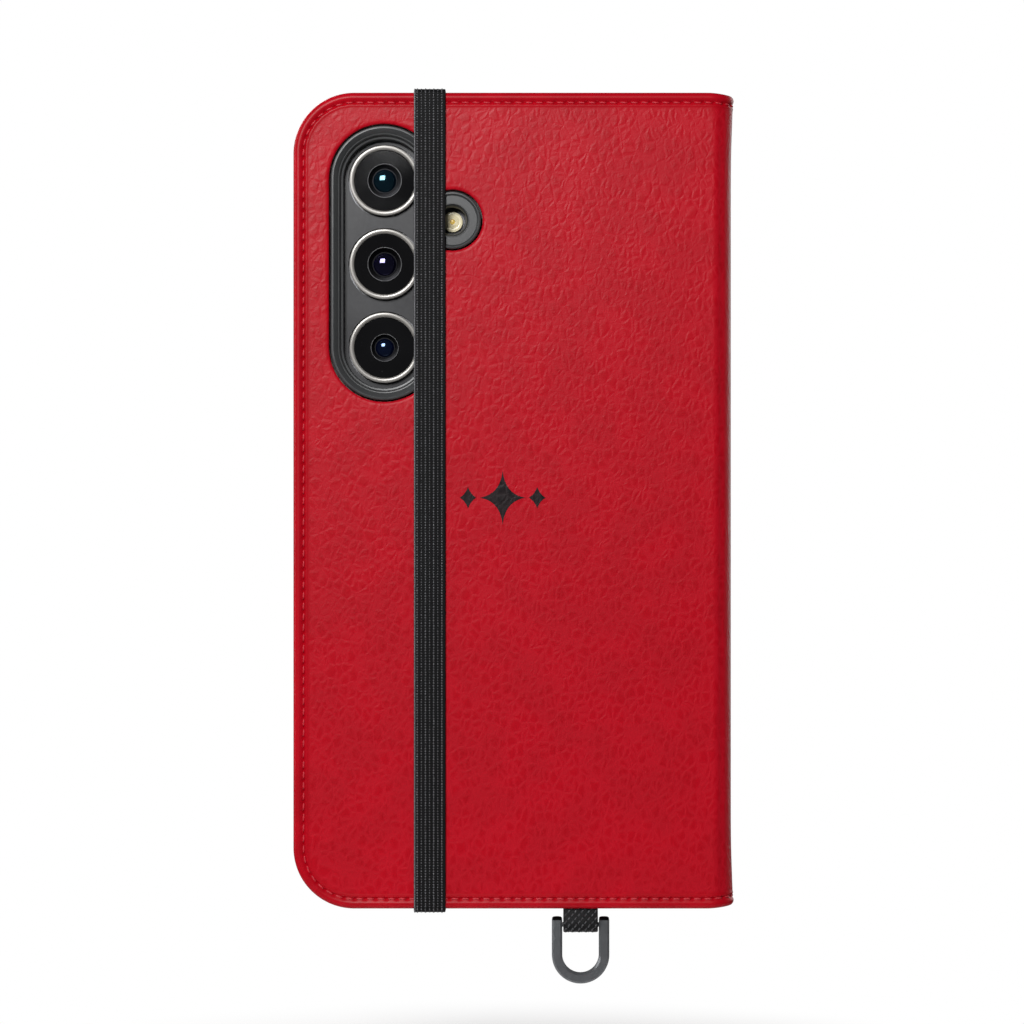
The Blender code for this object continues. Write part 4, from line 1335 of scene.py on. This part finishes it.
def make_lights():
    area_light("key_softbox", (-0.155, -0.6, 0.27), (-0.02, 0, 0.02), (0.22, 0.2), 4.35)
    area_light("left_strip", (-0.85, 0.0, 0.08), (0, 0, 0), (0.3, 0.9), 4.0)
    area_light("side_fill", (0.85, 0.2, 0.05), (0, 0, 0), (0.7, 0.9), 1.3)
    area_light("low_fill", (0.25, -0.5, -0.7), (0, 0, 0), (0.5, 0.3), 0.5)
    area_light("rear_left", (-0.5, 0.8, 0.5), (0, 0, 0), (0.5, 0.5), 5.0)
    area_light("rear_right", (0.7, 0.7, 0.2), (0, 0, 0), (0.4, 0.8), 3.0)


def make_camera():
    data = bpy.data.cameras.new("camera")
    data.lens = 104.3
    data.sensor_width = 36.0
    camera = new_object("camera", data)
    camera.location = (0.0019, -0.6, -0.0023)
    camera.rotation_euler = (math.radians(90), 0, 0)
    bpy.context.scene.camera = camera
    bpy.context.scene.view_settings.view_transform = "Standard"


# Pockets in the front cover


def make_pockets():
    """Stepped card pockets and the cash pocket: a rolled top hem on the open side and a stitched edge."""
    for node in ("card_pocket_1", "card_pocket_2", "card_pocket_3", "cash_pocket"):
        low, high = box(node)
        front, back = low.y, high.y

        def panel(name, low_x, rings, corner):
            outlines = []
            for inset, y in rings:
                start, end = (low_x + inset, low.z + inset), (high.x - inset, high.z - inset)
                outlines.append(standing(rounded_box(start, end, corner, 6), y))
            return loft(name, outlines, LINING, 30)

        edge = [
            (0.22, front), (0.06, front + 0.05), (0.0, front + 0.18),
            (0.0, back - 0.15), (0.08, back - 0.03), (0.2, back),
        ]
        sheet = panel("sheet", low.x, edge, 3.0)
        rolled = [
            (0.3, front - 0.1), (0.12, front - 0.07), (0.01, front + 0.04),
            (0.01, front + 0.2), (0.05, front + 0.24),
        ]
        hem = panel("hem", high.x - 3.0, rolled, 0.8)
        pocket = join(node + "_cloth", [sheet, hem])
        finish_mesh(pocket, 30)
        side, hem_x = low.x + SEAM_INSET, high.x - 2.5
        foot, top = low.z + SEAM_INSET, high.z - SEAM_INSET
        rows = [standing([(side, foot), (side, top)], front + 0.02)]
        for z in (foot, top):
            rows.append(standing([(side, z), (high.x - 3.3, z)], front + 0.02))
        rows.append(standing([(hem_x, foot), (hem_x, top)], front - 0.08))
        rows = [dense(row, 2.2) for row in rows]
        values = {"Length": STITCH, "Thickness": 0.24 * MM, "Slant": 0.0}
        seams = along_paths(node + "_stitches", STITCHES, rows, BLACK_THREAD, **values)
        for thing in (pocket, seams):
            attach(thing, "front_cover")
        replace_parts(pocket, node)


# Printed ornament


def make_ornament():
    """A small printed star between two lozenges, on the middle of the back cover."""

    def star(cx, half_x, half_z, waist, steps=14):
        points = []
        tips = [(half_x, 0), (0, half_z), (-half_x, 0), (0, -half_z)]
        for (x0, z0), (x1, z1) in zip(tips, tips[1:] + tips[:1]):
            mid = ((x0 + x1) * waist, (z0 + z1) * waist)
            for i in range(steps):
                u = i / steps
                px = (1 - u) ** 2 * x0 + 2 * u * (1 - u) * mid[0] + u * u * x1
                pz = (1 - u) ** 2 * z0 + 2 * u * (1 - u) * mid[1] + u * u * z1
                points.append((cx + px, 0.6 + pz))
        return points

    shapes = [star(0, 4.6, 5.4, 0.12), star(-7.0, 1.7, 2.2, 0.3), star(7.0, 1.7, 2.2, 0.3)]
    plates = [prism("print", outline, standing, (0.2, -0.065), PRINT) for outline in shapes]
    print_piece = join("printed_ornament", plates)
    mesh = print_piece.data
    layer = mesh.uv_layers.new(name="UVMap")
    for corner in mesh.loops:
        spot = mesh.vertices[corner.vertex_index].co
        layer.data[corner.index].uv = (spot.x, spot.z)
    set_panel(mesh, [1.0] * len(mesh.vertices))
    finish_mesh(print_piece)
    settle(print_piece, "back_cover", "red_leather")


make_camera()
make_covers()
make_surround()
make_holder()
make_phone()
make_lenses()
make_flash()
make_band()
make_tab()
make_shackle()
make_ornament()
make_pockets()

CAD_FINISHES = {
    "back_board": BOARD,
    "front_board": BOARD,
    "spine_board": BOARD,
    "phone_back_glass": PHONE_BACK,
    "tab_anchor": WEBBING,
    "band_anchor_top": ELASTIC,
    "band_anchor_bottom": ELASTIC,
}
for node_name, material in CAD_FINISHES.items():
    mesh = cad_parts[node_name].data
    mesh.materials.clear()
    mesh.materials.append(material)

make_stage()
make_lights()

bpy.context.view_layer.update()
